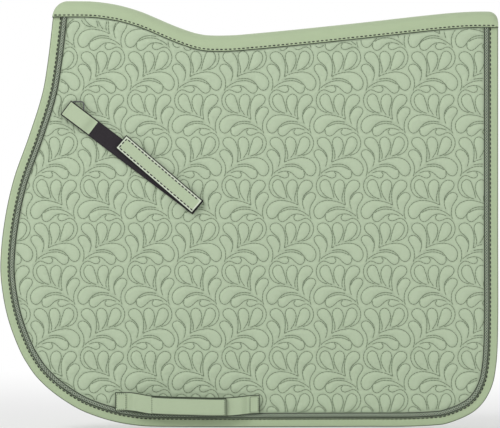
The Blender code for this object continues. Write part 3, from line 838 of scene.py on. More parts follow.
def closed_layer(field, points, back, tone):
    """A shape from a layer's worked face, with its rim carried to a flat back that far out."""
    flat, hidden, rim_back = plain_layer(field.flat[field.outer])
    count = len(points)
    faces = field.faces.tolist() + [tuple(count + i for i in face[::-1]) for face in hidden]
    faces += wall(field.outer, [count + i for i in rim_back])
    points = np.concatenate([points, lifted(flat, back)])
    tone = np.concatenate([tone, np.zeros(len(flat))])
    return Shape().add(points, points[:, (0, 2, 1)], tone, faces)


def quilt(lines):
    """Outer cloth with its wadding, puffed between the stitched plumes."""
    field = Field(lines, FIELD_STEP)
    height = field.membrane(0.1 * MM)
    points = inflate(field, height * 0.1)
    rise = PILLOW * np.tanh((-points[:, 1] - field.level) / PILLOW)
    points[:, 1] = -np.minimum(field.level + rise, OUTER)
    drift = points[:, (0, 2)] - field.flat
    far = np.linalg.norm(drift, axis=1, keepdims=True)
    drift *= np.minimum(1.0, PILLOW_DRIFT / np.maximum(far, 1e-9))
    points[:, (0, 2)] = field.flat + drift
    # Painted shade: a light dark tone on the points along the stitched lines, where the channels lie in
    # shade
    shape = closed_layer(field, points, QUILT_BACK, np.where(field.on_line, 0.15, 0.0))
    for piece in both_sides("quilt_cloth", shape, QUILT_CLOTH, node="outer_quilt", sharp=60):
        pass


def lining(lines):
    """Lining cloth, quilted through with shallower pillows towards the horse."""
    field = Field(lines, LINING_STEP)
    rise = LINING_PILLOW * np.tanh(field.membrane(0.03 * MM) / MM)
    points = lifted(field.flat, INNER - rise)
    points[field.outer, 1] = -INNER
    # Painted shade: the dark tone along the stitched lines stands in for the shade in the lining's channels
    shape = closed_layer(field, points, LINING_BACK, np.where(field.on_line, 0.6, 0.0))
    x, z = layer_loop(2 * MM).T
    for piece in both_sides("lining_cloth", shape, LINING_CLOTH, node="lining", sharp=60):
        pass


def foam():
    """Foam sheet between the quilt and the lining."""
    flat, faces, ring = plain_layer(layer_loop(4 * MM))
    count, size, soft = len(flat), len(ring), 0.5 * MM
    wider = flat[ring] + unit(flat[ring] - flat.mean(0)) * soft
    rings = ((flat, FOAM_OUTER), (flat, FOAM_FACE), (wider, FOAM_OUTER - soft), (wider, FOAM_FACE + soft))
    points = np.concatenate([lifted(plan, out) for plan, out in rings])
    faces = faces + [tuple(count + i for i in face[::-1]) for face in faces]
    first, second = range(2 * count, 2 * count + size), range(2 * count + size, 2 * count + 2 * size)
    faces += wall(ring, first) + wall(first, second) + wall(second, [count + i for i in ring])
    shape = Shape().add(points, points[:, (0, 2, 1)], faces=faces)
    for piece in both_sides("foam_sheet", shape, FOAM, node="foam_core"):
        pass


# Stitches


def stitch_rows(path, pitch, length):
    """Start and end points of stitches along a line of points in space."""
    lengths = run_lengths(path)
    at = np.arange((pitch - length) / 2, lengths[-1] - length, pitch)
    return list(zip(*(at_lengths(path, lengths, share) for share in (at, at + length))))


def add_stitches(shape, rows, radius, flatness, sides=6, out=-1.0):
    """Short thread capsules that dip into the cloth at both ends."""
    profile = ((0.0, 0.35), (0.1, 0.8), (0.3, 1.0), (0.7, 1.0), (0.9, 0.8), (1.0, 0.35))
    if sides < 4:
        profile = ((0.06, 1.0), (0.94, 1.0))
    out = np.array((0.0, out, 0.0))
    ring = math.tau * (np.arange(sides) + 0.25) / sides
    rings = [range(i * sides, (i + 1) * sides) for i in range(len(profile) + 1)]
    faces = [face for a, b in zip(rings[:-1], rings[1:-1]) for face in wall(a, b)]
    first, last, (tip, end_tip) = rings[0], rings[-2], rings[-1][:2]
    faces += [(first[(j + 1) % sides], first[j], tip) for j in range(sides)]
    faces += [(last[j], last[(j + 1) % sides], end_tip) for j in range(sides)]
    deep = radius * flatness
    for a, b in rows:
        along = b - a
        size = np.linalg.norm(along)
        across = unit(np.cross(along / size, out))
        points, cloth = [], []
        for share, scale in profile:
            middle = a + along * share + out * deep * (scale - 1.0)
            for turn in ring:
                rise = out * deep * scale * math.sin(turn)
                points.append(middle + across * radius * scale * math.cos(turn) + rise)
                cloth.append((share * size, turn, 0.0))
        tips = [a - out * deep, b - out * deep]
        shape.add(points + tips, cloth + [(0.0, 0.0, 0.0)] * 2, faces=faces)


def sew(name, lines, radius, kind, body=None, outs=(-1.0, -1.0)):
    """A piece of stitches along lines; kind is their material, pitch, length and flatness."""
    material, pitch, length, flatness = kind
    shape = Shape()
    for line, out in zip(lines, outs):
        add_stitches(shape, stitch_rows(line, pitch, length), radius, flatness, out=out)
    both_sides(name, shape, material, body)


BOLD_STITCH = (BLACK_THREAD, STITCH_PITCH, STITCH_LENGTH, 0.6)
FLAP_STITCH = (BLACK_THREAD, STITCH_PITCH, FLAP_STITCH_LENGTH, 0.6)
FINE_STITCH = (DARK_THREAD, FINE_PITCH, FINE_LENGTH, 0.7)


def doubled(ends, near):
    """Which stitches lie over an earlier one, as where two lines share a stretch."""
    cells, found = Cells(near), np.zeros(len(ends), bool)
    for i, (a, b) in enumerate(ends):
        samples = [a + (b - a) * t for t in (0.1, 0.3, 0.5, 0.7, 0.9)]
        found[i] = sum(cells.near(p, near * 0.7) for p in samples) > 1
        if not found[i]:
            for p in samples:
                cells.place(p)
    return found


def quilt_stitches(lines):
    """Thread in the quilting's channels."""
    rows = []
    for line in lines:
        rows += stitch_rows(lifted(line, 0.0), QUILT_STITCH_PITCH, QUILT_STITCH_LENGTH)
    rows = np.array(rows)
    ends, seam = rows[:, :, (0, 2)], field_loop(1.0 * MM)
    rows = rows[inside(ends[:, 0], seam) & inside(ends[:, 1], seam) & ~doubled(ends, 1.0 * MM)]
    for end in (0, 1):
        rows[:, end, 1] = -(seat_level(rows[:, end][:, (0, 2)]) + 0.25 * MM)
    shape = Shape()
    add_stitches(shape, rows, QUILT_SEAM, 0.8, sides=3)
    both_sides("quilt_stitches", shape, QUILT_THREAD, sharp=80)


# Edge binding and cord


def edge_tube(shape, path, corners):
    """A tube along a free edge; corners gives (inward, out, cloth, tone) at a distance along."""

    def section(at):
        (x, z), (nx, nz), s = at
        return [((x + nx * u, -out, z + nz * u), cloth, tone) for u, out, cloth, tone in corners(s)]

    return shape.tube(zip(path, normals(path), run_lengths(path)), section)


def binding_profile(half, fold):
    """The folded tape's section as (inward, out) points, with a round fold at the edge."""
    upper = [(BINDING_WIDTH, half - 0.25 * MM), (BINDING_WIDTH - 0.7 * MM, half)]
    upper += [(u * MM, half) for u in (8.5, 6.5, 4.5)]
    turns = [math.pi / 2 * i / 8 for i in range(1, 8)]
    upper += [(fold - fold * math.sin(a), half - fold + fold * math.cos(a)) for a in turns]
    upper.append((0.0, 1.0 * MM))
    lower = [(u, -y) for u, y in reversed(upper)]
    depth, near, far = half - BINDING_CLOTH, BINDING_CLOTH, BINDING_WIDTH
    within = [(far, -depth), (near, -depth), (near, depth), (far, depth)]
    return np.array(upper + [(0.0, 0.0)] + lower + within)


def edge_binding():
    """Tape folded softly round the free edges, with painted shade along its fold and its inner edge."""
    back, face = BINDING_FACES
    middle = (back + face) / 2
    profile = binding_profile((face - back) / 2, BINDING_FOLD)
    inset, height = profile[:, 0], abs(profile[:, 1])
    # Painted shade: a dark tone on the rounded fold, and a painted seam shadow along the tape's inner edge
    tone = np.where((inset > 0.15 * MM) & (inset < 1.0 * MM) & (height > 1 * MM), 0.9, 0.0)
    tone = np.maximum(tone, np.where(inset > BINDING_WIDTH - 0.1 * MM, 0.6, 0.0))
    around = run_lengths(profile)

    def corners(s):
        ripple = 0.16 * MM * math.sin(s / (2.9 * MM)) + 0.1 * MM * math.sin(s / (1.7 * MM) + 1.0)
        for (u, y), v, dark in zip(profile, around, tone):
            pucker = ripple * smoothstep(2 * MM, 9 * MM, u) if abs(y) > 3 * MM else 0.0
            yield u, middle + y + (pucker - 0.1 * MM if y > 0 else -pucker), (s, v, 0.0), dark

    shape = edge_tube(Shape(), spaced(under_foot(EDGE, 3.4 * MM), 2.4 * MM), corners)
    both_sides("binding_tape", shape, TAPE_CLOTH, node="edge_binding", sharp=50)
    seam = spaced(under_foot(offset(EDGE, BINDING_WIDTH - 0.9 * MM), 1 * MM), 1 * MM)
    lines = [lifted(seam, face + 0.15 * MM), lifted(seam, back - 0.05 * MM)]
    sew("binding_stitches", lines, BINDING_SEAM, BOLD_STITCH, outs=(-1.0, 1.0))


def trim_cord():
    """Flat cord of eight yarns plaited over a near-black core on a flat base, whose colour is painted shade
    in the gaps between the yarns and along both sides.
    """
    path = under_foot(offset(EDGE, CORD_OFFSET))
    fine, coarse = spaced(path, 0.72 * MM), spaced(path, 2.5 * MM)
    spread = 0.4 / CORD_STRANDS * math.pi
    yarns = Shape()
    for way, strand in [(way, strand) for way in (1.0, -1.0) for strand in range(CORD_STRANDS)]:

        def corners(s):
            angle = math.tau * (strand / CORD_STRANDS + way * s / CORD_TURN)
            lift = 1.0 + way * 0.085 * math.cos(CORD_STRANDS * angle)
            for i, (turn, grow) in enumerate(((way, 1.0), (0.0, 1.08), (-way, 1.0), (0.0, 0.88))):
                a, scale = angle + turn * spread, lift * grow
                out = CORD_MIDDLE + CORD_HIGH * scale * math.sin(a)
                yield CORD_WIDE * scale * math.cos(a), out, (s, i * 1.6, 0.0), 0.0

        edge_tube(yarns, fine, corners)
    both_sides("braided_cord", yarns, CORD_YARN, node="trim_cord", sharp=70)
    wide, high = CORD_WIDE * 0.86, CORD_HIGH * 0.86
    turns = [math.tau * i / 12 for i in range(12)]
    round_core = [(wide * math.cos(a), CORD_MIDDLE + high * math.sin(a)) for a in turns]
    base, half = CORD_MIDDLE - CORD_HIGH - 0.05 * MM, CORD_HALF
    # The flat base reaches out past the yarns, so that its dark colour shows as painted shade along both
    # sides of the cord
    edge, face, narrow = base + 0.4 * MM, base + 0.7 * MM, CORD_HALF - 0.45 * MM
    flat = [(-half, base), (half, base), (half, edge), (narrow, face), (-narrow, face), (-half, edge)]
    core = Shape()
    for profile in (round_core, flat):
        edge_tube(core, coarse, lambda s: [(u, out, (s, u, out), 0.0) for u, out in profile])
    both_sides("cord_core", core, CORD_CORE)


# Spine


def spine_stations(step):
    """X positions along the spine, closer together in the rounded ends."""
    front = FIRST_X + FRONT_ROUND[0] * (1 - np.cos(np.linspace(0.0, math.pi / 2, 16)))
    rear = LAST_X - REAR_ROUND[0] * (1 - np.cos(np.linspace(math.pi / 2, 0.0, 12)))
    count = round((rear[0] - front[-1]) / step)
    return np.concatenate([front, np.linspace(front[-1], rear[0], count + 1)[1:-1], rear])


def rounding(x):
    """How far the rounded ends of the spine lie under the topline."""
    for reach, (length, height) in ((x - FIRST_X, FRONT_ROUND), (LAST_X - x, REAR_ROUND)):
        if reach < length:
            return height * (1 - math.sqrt(max(1 - (1 - reach / length) ** 2, 0.0)))
    return 0.0


def ridge(half, top, low, count):
    """Points from the foot of one wall up to the middle of a rounded ridge."""
    rise = min(half, (top - low) * 0.96)
    upright = [min(t * MM, (top - rise - low) * t / 4.4) for t in (0.0, 1.0, 1.35, 2.4, 3.5)]
    turns = [math.pi / 2 * i / count for i in range(count + 1)]
    arch = [(half * math.cos(a), top - rise + rise * math.sin(a)) for a in turns]
    return [(half, low + height) for height in upright] + arch


def spine_band():
    """Webbing band over the topline, in two halves, one for each side."""

    def section(x):
        low = foot(x)
        top = low + BAND_HEIGHT - rounding(x)
        thin = min(BAND, (top - low) / 4)
        loop = ridge(BAND_HALF, top, low, 14) + ridge(BAND_HALF - BAND, top - thin, low, 14)[::-1]
        wave = 0.12 * MM * math.sin(x / (6.5 * MM)) + 0.08 * MM * math.sin(x / (2.3 * MM) + 0.7)
        for (y, z), v in zip(loop, run_lengths(np.array(loop))):
            near_foot = 1 - smoothstep(0.0, 9 * MM, z - low)
            # Painted shadow: the band's lowest 1.1 mm takes the dark tone, as shade along its lower edge
            dark = 0.95 if z - low < 1.1 * MM else 0.0
            yield (x, -(y + wave * near_foot if y > 0 else 0.0), z), (x, v, 0.0), dark

    shape = Shape().tube(spine_stations(2.5 * MM), section)
    both_sides("spine_band", shape, TAPE_CLOTH, node="spine_binding", sharp=24)
    xs = np.arange(FIRST_X + 1.5 * MM, LAST_X - 1.5 * MM, 1 * MM)
    line = lifted(np.column_stack([xs, foot(xs) + 3.0 * MM]), BAND_HALF + 0.15 * MM)
    sew("band_stitches", [line], BAND_SEAM, BOLD_STITCH)


def spine_wadding():
    """Wadding arch under the band, in halves, with a soft fleecy underside."""

    def section(x):
        low = foot(x)
        top = low + BAND_HEIGHT - rounding(x) - BAND - CLEAR
        base = low + 5.0 * MM
        crown = low + BAND_HEIGHT - BAND - CLEAR - 6.0 * MM
        loop = [(y, max(z, base)) for y, z in ridge(BAND_HALF - BAND - CLEAR, top, low, 10)]
        loop += [(0.0, crown), (4.9 * MM, crown), (6.8 * MM, crown - 1.0 * MM), (INNER, crown - 3.2 * MM)]
        loop += [(INNER, (crown + base) / 2 - 1 * MM), (INNER, base)]
        for i, (y, z) in enumerate(loop):
            fluff = 0.25 * MM * math.sin(x / (3.1 * MM) + i) if 0 < y < INNER + MM and z > base else 0.0
            yield (x, -(y + fluff if y > 0 else 0.0), z), (x, y, z), 0.0

    first, last = FIRST_X + FRONT_ROUND[0] * 0.5, LAST_X - REAR_ROUND[0] * 0.5
    shape = Shape().tube([x for x in spine_stations(4 * MM) if first <= x <= last], section)
    for piece in both_sides("spine_wadding", shape, WADDING, node="spine_pad", sharp=50):
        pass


def spine_tape():
    """Lining tape under the arch, which lies on the rack or the horse."""
    low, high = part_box("spine_tape")
    half, soft, thick = high.y, 0.3 * MM, 0.8 * MM
    ring = [(half, soft / 2), (half - soft, 0.0), (0.0, 0.0)]
    ring += [(-y, z) for y, z in ring[1::-1]]
    ring += [(-y, thick - z) for y, z in ring]

    def section(x):
        base = foot(x) + BAND_HEIGHT - 8.2 * MM + abs(0.05 * MM * math.sin(x / (2.4 * MM)))
        return [((x, y, base + z), (x, y, 0.0), 0.0) for y, z in ring]

    shape = Shape().tube(np.linspace(low.x, high.x, 160), section)
    piece = make("spine_lining_tape", shape, -1.0, LINING_CLOTH, 50)
    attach(piece, "spine")
    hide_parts("spine_tape")


# Straps


class Place:
    """A flat frame on the left side: along, across, and out from the middle plane."""

    def __init__(self, x, z, angle, mirror=False, sag=None):
        self.at = np.array((x, z))
        sine, cosine = math.sin(angle), math.cos(angle)
        self.along = np.array((-cosine, sine) if mirror else (cosine, -sine))
        self.across = np.array((sine, cosine))
        self.sag = sag

    def point(self, s, c, out, lean=0.0):
        """A point let down by the sag at s, and moved on along the frame by lean."""
        if self.sag:
            c = c - self.sag((self.at + self.along * s)[0])
        x, z = self.at + self.along * (s + lean) + self.across * c
        return np.array((x, -out, z))


def tape(place, path, thickness, width, tones=(), step=2.0 * MM, bulge=0.0, ends=(True, True), shadow=None):
    """A strap along a path of (along, out), softly rounded at its edges.

    tones lists (distance from an edge, tone) pairs from the edge inward, where 1 is dark
    and -1 pale; the dark tones are painted shade along the edges. ends says which ends count
    as edges. bulge crowns the strap's face.
    shadow is (start, width, tone) of a painted shadow along the upper edge from there on.
    """
    rough = np.array(path, float)
    lengths = run_lengths(rough)
    soft = min(thickness * 0.35, 0.35 * MM)
    edges = [reach for reach, tone in tones] + ([shadow[1]] if shadow else [])
    near = [0.25 * MM] + [reach + side * 0.12 * MM for reach in edges for side in (-1, 1)]
    at = np.linspace(0.0, lengths[-1], max(2, round(lengths[-1] / step)) + 1)
    at = np.r_[at, near, lengths[-1] - np.array(near)]
    at = np.unique(np.round(at[(at >= 0) & (at <= lengths[-1])], 6))
    line = at_lengths(rough, lengths, at)
    tangent = unit(np.gradient(line, at, axis=0))
    half, thick = width / 2, thickness / 2
    marks = sorted({0.0, soft, *[m for m in near if m > soft * 1.3], half * 0.6, half})
    upper = [(-half + m, thick if m else thick - soft) for m in marks]
    upper += [(half - m, thick if m else thick - soft) for m in reversed(marks[:-1])]
    ring = upper + [(c, -h) for c, h in reversed(upper)]

    def section(station):
        here, (s, out), (ts, to) = station
        end = min([here] * ends[0] + [at[-1] - here] * ends[1] + [half])
        for c, h in ring:
            height = h + (bulge * (1 - (c / half) ** 2) if h > 0 else 0.0)
            shaded = next((t for reach, t in tones if min(half - abs(c), end) < reach), 0.0)
            if h < 0:
                shaded = max(shaded, 0.0)
            if shadow and here > shadow[0] and half - c < shadow[1]:
                shaded = max(shaded, shadow[2])
            yield place.point(s, c, out + ts * height, -to * height), (here, c, h), shaded

    return Shape().tube(zip(at, line, tangent), section)


def sewn_line(place, points, out):
    """A line of stitching on a strap's face, through (along, across) points."""
    return np.array([place.point(s, c, out) for s, c in spaced(np.array(points, float), 0.5 * MM)])


def strap_path(start, end, under, thickness):
    """Along a strap that passes over the ring and then lies on the pad."""
    high, low = SEAT + EYE_DEPTH + under + thickness / 2, SEAT + under + thickness / 2
    ramp = LIFTED_LENGTH + RAMP_LENGTH
    if start >= ramp:
        return [(start, low), (end, low)]
    share = np.array((0.0, 0.2, 0.4, 0.6, 0.8, 1.0))
    middle = zip(LIFTED_LENGTH + RAMP_LENGTH * share, high + (low - high) * smoothstep(0.0, 1.0, share))
    return [(start, high), *middle, (min(ramp + 2 * MM, end), low), (end, low)]


def upper_strap():
    """The strap from its sewn end to the fold, its green cover and its touch tape."""
    place = Place(*STRAP_AT, STRAP_ANGLE)
    start = END_LENGTH + CLEAR
    end = STRAP_LENGTH - STRAP_WIDTH / 2 * math.tan(FLAP_ANGLE - STRAP_ANGLE) - 2 * CLEAR
    narrow = STRAP_WIDTH - 2 * STRAP_EDGE
    backing = tape(place, strap_path(start, end, 0.0, WEBBING), WEBBING, STRAP_WIDTH)
    both_sides("strap_webbing", backing, BLACK_WEB, "strap", "strap_backing")
    upper = WEBBING + CLEAR
    path = strap_path(start, COVER_LENGTH - CLEAR, upper, STRAP_CLOTH)
    # Painted shade: the dark tone 0.6 mm in from the cover's long edges
    cover = tape(place, path, STRAP_CLOTH, narrow, tones=((0.6 * MM, 1.0),), ends=(False, False))
    both_sides("strap_cover_web", cover, WEB, "strap", "strap_cover")
    sewn_strap_end(place)
    loop_tape(place, end, narrow, SEAT + upper)
    flap(place, end)


def sewn_strap_end(place):
    """The strap's folded end: a rounded fold whose lower part is sewn down to the pad."""
    half = STRAP_WIDTH / 2 - 0.1 * MM
    low, top = SEAT + EYE_DEPTH, SEAT + EYE_DEPTH + WEBBING + CLEAR + STRAP_CLOTH
    inner = -half + 0.44 * STRAP_WIDTH
    fold, shoulder = 1.6 * MM, ((0.0, 0.9), (0.2, 0.5), (1.2, 0.3), (1.5, 0.0))

    def section(s):
        soft = 0.7 * MM * (1 - math.sqrt(max(1 - (1 - min(s, fold) / fold) ** 2, 0.0)))
        face = [(half - c * MM, top - soft - h * MM) for c, h in shoulder] + [(half * 0.5, top - soft)]
        for c, out in (
            (-half + soft, SEAT), (inner - 0.6 * MM, SEAT), (inner, SEAT + 0.6 * MM),
            (inner, low - 0.4 * MM), (inner + 0.4 * MM, low), (half - soft, low), (half, low + 0.5 * MM),
            *face, *[(-c, out) for c, out in reversed(face)], (-half, SEAT + 0.5 * MM),
        ):
            # Painted shade: dark tone over the rounded fold and along both long edges
            dark = 1.0 if s < 1.2 * MM or abs(c) > half - 1.3 * MM else 0.0
            yield place.point(s, c, out), (s, c, out), dark

    stations = (0.0, 0.2 * MM, 0.5 * MM, 0.9 * MM, 1.15 * MM, 1.3 * MM, 1.8 * MM, END_LENGTH + 0.15 * MM)
    both_sides("strap_sewn_end", Shape().tube(stations, section), WEB, "side", "strap_end")


def loop_tape(place, end, width, base):
    """Black loop tape with a real pile on its face."""
    rng = np.random.default_rng(11)
    rows = np.linspace(-width / 2, width / 2, 24)

    def section(s):
        pile = rng.random(len(rows)) * 0.35 * MM
        pile[0] = pile[-1] = 0.3 * MM
        ring = [(c, base + STRAP_CLOTH - p) for c, p in zip(rows, pile)]
        ring += [(rows[-1], base), (0.0, base), (rows[0], base)]
        return [(place.point(s, c, out), (s, c, out), 0.0) for c, out in ring]

    shape = Shape().tube(np.arange(COVER_LENGTH, end, 0.9 * MM), section)
    both_sides("loop_tape", shape, LOOP_PILE, "strap", "strap_loop_tape", sharp=80)


def hook_tape(name, place, start, end, width, face, body, node):
    """Hook tape up to a face's height: a thin back, and rows of small hooks towards the pad."""
    level = face - HOOK_BACK / 2
    shape = tape(place, [(start, level), (end, level)], HOOK_BACK, width)
    corners = ((-HOOK_HALF, -HOOK_HALF), (-HOOK_HALF, HOOK_HALF), (HOOK_HALF, 0.0))
    for s in np.arange(start + HOOK_PITCH, end - HOOK_PITCH, HOOK_PITCH):
        for c in np.arange(-width / 2 + HOOK_PITCH, width / 2 - HOOK_PITCH / 2, HOOK_PITCH):

            def section(at):
                along, rise = at
                height = face - HOOK_BACK - rise * MM
                ring = [(along * MM + a, c + b) for a, b in corners]
                return [(place.point(s, b, height, a), (s + a, b, rise), 0.0) for a, b in ring]

            shape.tube(HOOK, section)
    both_sides(name, shape, HOOKS, body, node)


def flap(strap, strap_end):
    """The strap's return from the fold up to its free end, sewn round its hook tape."""
    x, _, z = strap.point(STRAP_LENGTH, 0.0, 0.0)
    place = Place(x, z, FLAP_ANGLE, mirror=True)
    hook_face = SEAT + WEBBING + STRAP_CLOTH + 2 * CLEAR + STRAP_CLOTH
    cover = hook_face + CLEAR + WEBBING / 2
    # Painted shade: the dark tone 1.3 mm in from the flap's edges; inside it lies a pale band
    path, tones = [(CLEAR, cover), (FLAP_LENGTH, cover)], ((1.3 * MM, 1.0), (3.1 * MM, -0.7))
    web = tape(place, path, WEBBING, FLAP_WIDTH, tones, bulge=0.15 * MM)
    both_sides("flap_web", web, WEB, "flap", "flap_cover")
    width, end = FLAP_WIDTH - 2 * STRAP_EDGE, FLAP_LENGTH - FLAP_MARGIN
    hook_tape("flap_hooks", place, FLAP_MARGIN, end, width, hook_face, "flap", "flap_hook_tape")
    margin = 3.5 * MM
    start, c, s = 1.5 * MM, FLAP_WIDTH / 2 - margin, FLAP_LENGTH - margin
    line = sewn_line(place, [(start, -c), (s, -c), (s, c), (start, c)], cover + WEBBING / 2 + 0.15 * MM)
    sew("flap_stitches", [line], FLAP_SEAM, FLAP_STITCH, "flap")
    fold_web(strap, place, strap_end)


def fold_web(strap, place, strap_end):
    """The webbing's turn at the fold, which follows the strap below and the flap above."""
    low, high = SEAT + WEBBING / 2, SEAT + 2 * STRAP_CLOTH + 1.5 * WEBBING + 3 * CLEAR
    middle, radius = (low + high) / 2, (high - low) / 2
    across = (-1.0, -0.85, 0.0, 0.85, 1.0)
    ring = [(c, 0.5) for c in across] + [(c, -0.5) for c in reversed(across)]
    steps = 14

    def section(i):
        share = max(i / steps, 0.0)
        turn = math.pi * (share - 0.5)
        half = (STRAP_WIDTH * (1 - share) + FLAP_WIDTH * share) / 2
        for c, thick in ring:
            reach = radius + thick * WEBBING * 0.8
            out = middle + reach * math.sin(turn)
            along = reach * math.cos(turn) * 0.62 - CLEAR if i >= 0 else strap_end + 0.1 * MM - STRAP_LENGTH
            a, b = strap.point(STRAP_LENGTH + along, c * half, out), place.point(-along, c * half, out)
            # Painted shade: dark tone over the turn of the fold and along its edges
            dark = 1.0 if abs(c) > 0.9 or 0.1 < share else 0.0
            yield a * (1 - share) + b * share, (share * 6 * MM, c * half, 0.0), dark

    shape = Shape().tube(range(-1, steps + 1), section)
    at = strap.point(STRAP_LENGTH, 0.0, 0.0)
    for side, prefix in SIDES:
        piece = make(prefix + "strap_fold", shape, side, WEB, 50)
        start, end = (at[0], side * (low + 0.3 * MM), at[2]), (at[0], side * (high - 0.3 * MM), at[2])
        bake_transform(piece)
        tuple(start)
        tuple(end)


def keeper_ring():
    """Nickel wire ring behind the strap's end, on its webbing tab."""
    low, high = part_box("left_keeper_ring")
    middle = np.array(((low.x + high.x) / 2, (low.z + high.z) / 2))
    radius = (high.y - low.y) / 2
    out = -(low.y + high.y) / 2
    half = np.array(((high.x - low.x) / 2 - radius, (high.z - low.z) / 2 - radius))
    bend, steps = 3.5 * MM, 8

    def section(at):
        quarter, step = at
        turn = math.pi / 2 * (quarter + step / steps)
        corner = middle + (half - bend) * ((1, 1), (-1, 1), (-1, -1), (1, -1))[quarter]
        for angle in math.tau * np.arange(16) / 16:
            reach = bend + radius * math.cos(angle)
            x, z = corner + np.array((math.cos(turn), math.sin(turn))) * reach
            y = -(out + radius * math.sin(angle))
            yield (x, y, z), (x, z, y), 0.0

    stations = [(quarter, step) for quarter in range(4) for step in range(steps + 1)]
    shape = Shape().tube(stations, section, closed=True)
    both_sides("ring_wire", shape, NICKEL, "side", "keeper_ring", sharp=80)
    ring_tab(middle[0], middle[1] - half[1], out, radius)


def ring_tab(x, bar, out, wire):
    """Webbing looped round the ring's lower bar and sewn down to the pad."""
    thick, tail = 0.6 * MM, 8.5 * MM
    reach = wire + CLEAR + thick / 2
    turns = np.linspace(-math.pi / 2, math.pi / 2, 9)
    path = [(-tail, out - reach), (-tail * 0.5, out - reach)]
    path += [(reach * math.cos(a), out + reach * math.sin(a)) for a in turns]
    upper = out - reach + thick + CLEAR
    path += [(-2.0 * MM, out + reach * 0.75), (-tail * 0.55, upper + 0.1 * MM), (-tail, upper)]
    place = Place(x, bar, -math.pi / 2)
    place.across = np.array((1.0, 0.0))
    # Painted shade: the dark tone 0.6 mm in from the tab's edges
    shape = tape(place, path, thick, 9.0 * MM, tones=((0.6 * MM, 0.7),), step=0.7 * MM)
    both_sides("tab_web", shape, WEB, "side", "ring_tab")
    s, c = 1.2 * MM - tail, 3.2 * MM
    line = sewn_line(place, [(s, -c), (s, c)], upper + thick / 2 + 0.1 * MM)
    sew("tab_stitches", [line], TAB_SEAM, FINE_STITCH, "side")


# Girth loop


def girth_sag(x):
    """How far the girth loop's middle line hangs below its sewn front end."""
    return GIRTH_SAG * float(hermite(SAG_SHAPE, (x - GIRTH_FRONT_X) / GIRTH_LENGTH))


def rising(height, reach):
    """From a sewn end up to a height in a soft curve, then on to the reach."""
    base, start = GIRTH_SEAT + GIRTH_WEBBING / 2, CLEAR / 2
    share = np.linspace(0.0, 1.0, 9)
    along = start + GIRTH_WEBBING + (GIRTH_RISE - GIRTH_WEBBING) * share
    out = base + (height - base) * smoothstep(0.0, 1.0, share)
    return [(start, base), *zip(along, out), (reach, height)]


def girth_loop():
    """Two webbing straps bowed off the pad, closed on each other with touch tape."""
    front = Place(GIRTH_FRONT_X + GIRTH_SEWN_FRONT, GIRTH_Z, 0.0, sag=girth_sag)
    rear = Place(GIRTH_FRONT_X + GIRTH_LENGTH - GIRTH_SEWN_REAR, GIRTH_Z, 0.0, mirror=True, sag=girth_sag)
    rear_height = SEAT + GIRTH_BOW + GIRTH_WEBBING / 2
    loop_height = rear_height + GIRTH_WEBBING / 2 + CLEAR + GIRTH_TAPE / 2
    hook_height = loop_height + GIRTH_TAPE + CLEAR
    front_height = hook_height + GIRTH_TAPE / 2 + CLEAR + GIRTH_WEBBING / 2
    rear_reach = GIRTH_FREE_END - GIRTH_SEWN_REAR + GIRTH_OVERLAP
    front_reach = GIRTH_LENGTH - GIRTH_SEWN_FRONT - GIRTH_FREE_END
    base = GIRTH_SEAT + GIRTH_WEBBING / 2
    sewn = (GIRTH_SEWN_FRONT, GIRTH_SEWN_REAR)
    front_end, rear_end = ([(-length, base), (-CLEAR / 2, base)] for length in sewn)
    front_free, rear_free = rising(front_height, front_reach), rising(rear_height, rear_reach)
    lap = front_reach - GIRTH_OVERLAP
    # Painted shadow: a dark tone along the front strap's upper edge over the stretch where it laps the rear
    # strap
    line = (lap + 2.5 * MM, 2.4 * MM, 0.85)
    for name, place, path, body, node, ends, shadow in (
        ("front_sewn", front, front_end, "side", "front_end", (True, False), None),
        ("rear_sewn", rear, rear_end, "side", "rear_end", (True, False), None),
        ("front_web", front, front_free, "girth_front", "front_strap", (False, True), line),
        ("rear_web", rear, rear_free, "girth_rear", "rear_strap", (False, True), None),
    ):
        # Painted shade: each girth strap's dark tone 1.1 mm in from its edges
        shape = tape(place, path, GIRTH_WEBBING, GIRTH_WIDTH, ((1.1 * MM, 1.0),), ends=ends, shadow=shadow)
        both_sides("girth_" + name, shape, GIRTH_WEB, body, "girth_" + node)
    width = GIRTH_WIDTH - 2 * STRAP_EDGE
    start, end, face = lap + FLAP_MARGIN, front_reach - CLEAR, hook_height + GIRTH_TAPE / 2
    hook_tape("girth_hooks", front, start, end, width, face, "girth_front", "girth_hook_tape")
    path = [(rear_reach - GIRTH_OVERLAP, loop_height), (rear_reach - CLEAR, loop_height)]
    pile = tape(rear, path, GIRTH_TAPE, width)
    both_sides("girth_loop_pile", pile, LOOP_PILE, "girth_rear", "girth_loop_tape")
    girth_stitches(front, rear, front_reach, front_height + GIRTH_WEBBING / 2)


def girth_stitches(front, rear, front_reach, front_face):
    """Box stitching at the sewn ends, and round the touch tape on the front strap."""
    side = GIRTH_WIDTH / 2 - 2.2 * MM
    lines = []
    for place, length in ((front, GIRTH_SEWN_FRONT), (rear, GIRTH_SEWN_REAR)):
        near, far = -length + 2.0 * MM, -1.2 * MM
        box = [(near, -side), (far, -side), (far, side), (near, side), (near, -side)]
        lines.append(sewn_line(place, box, GIRTH_SEAT + GIRTH_WEBBING + 0.1 * MM))
    sew("girth_sewn_stitches", lines, GIRTH_SEAM, FINE_STITCH, "side")
    start, end, low = front_reach - GIRTH_OVERLAP, front_reach - 2.4 * MM, -side - 0.6 * MM
    box = [(start, side), (start, low), (end, low), (end, side), (start, side)]
    line = sewn_line(front, box, front_face + 0.1 * MM)
    sew("girth_tape_stitches", [line], GIRTH_SEAM, FINE_STITCH, "girth_front")


# Stage


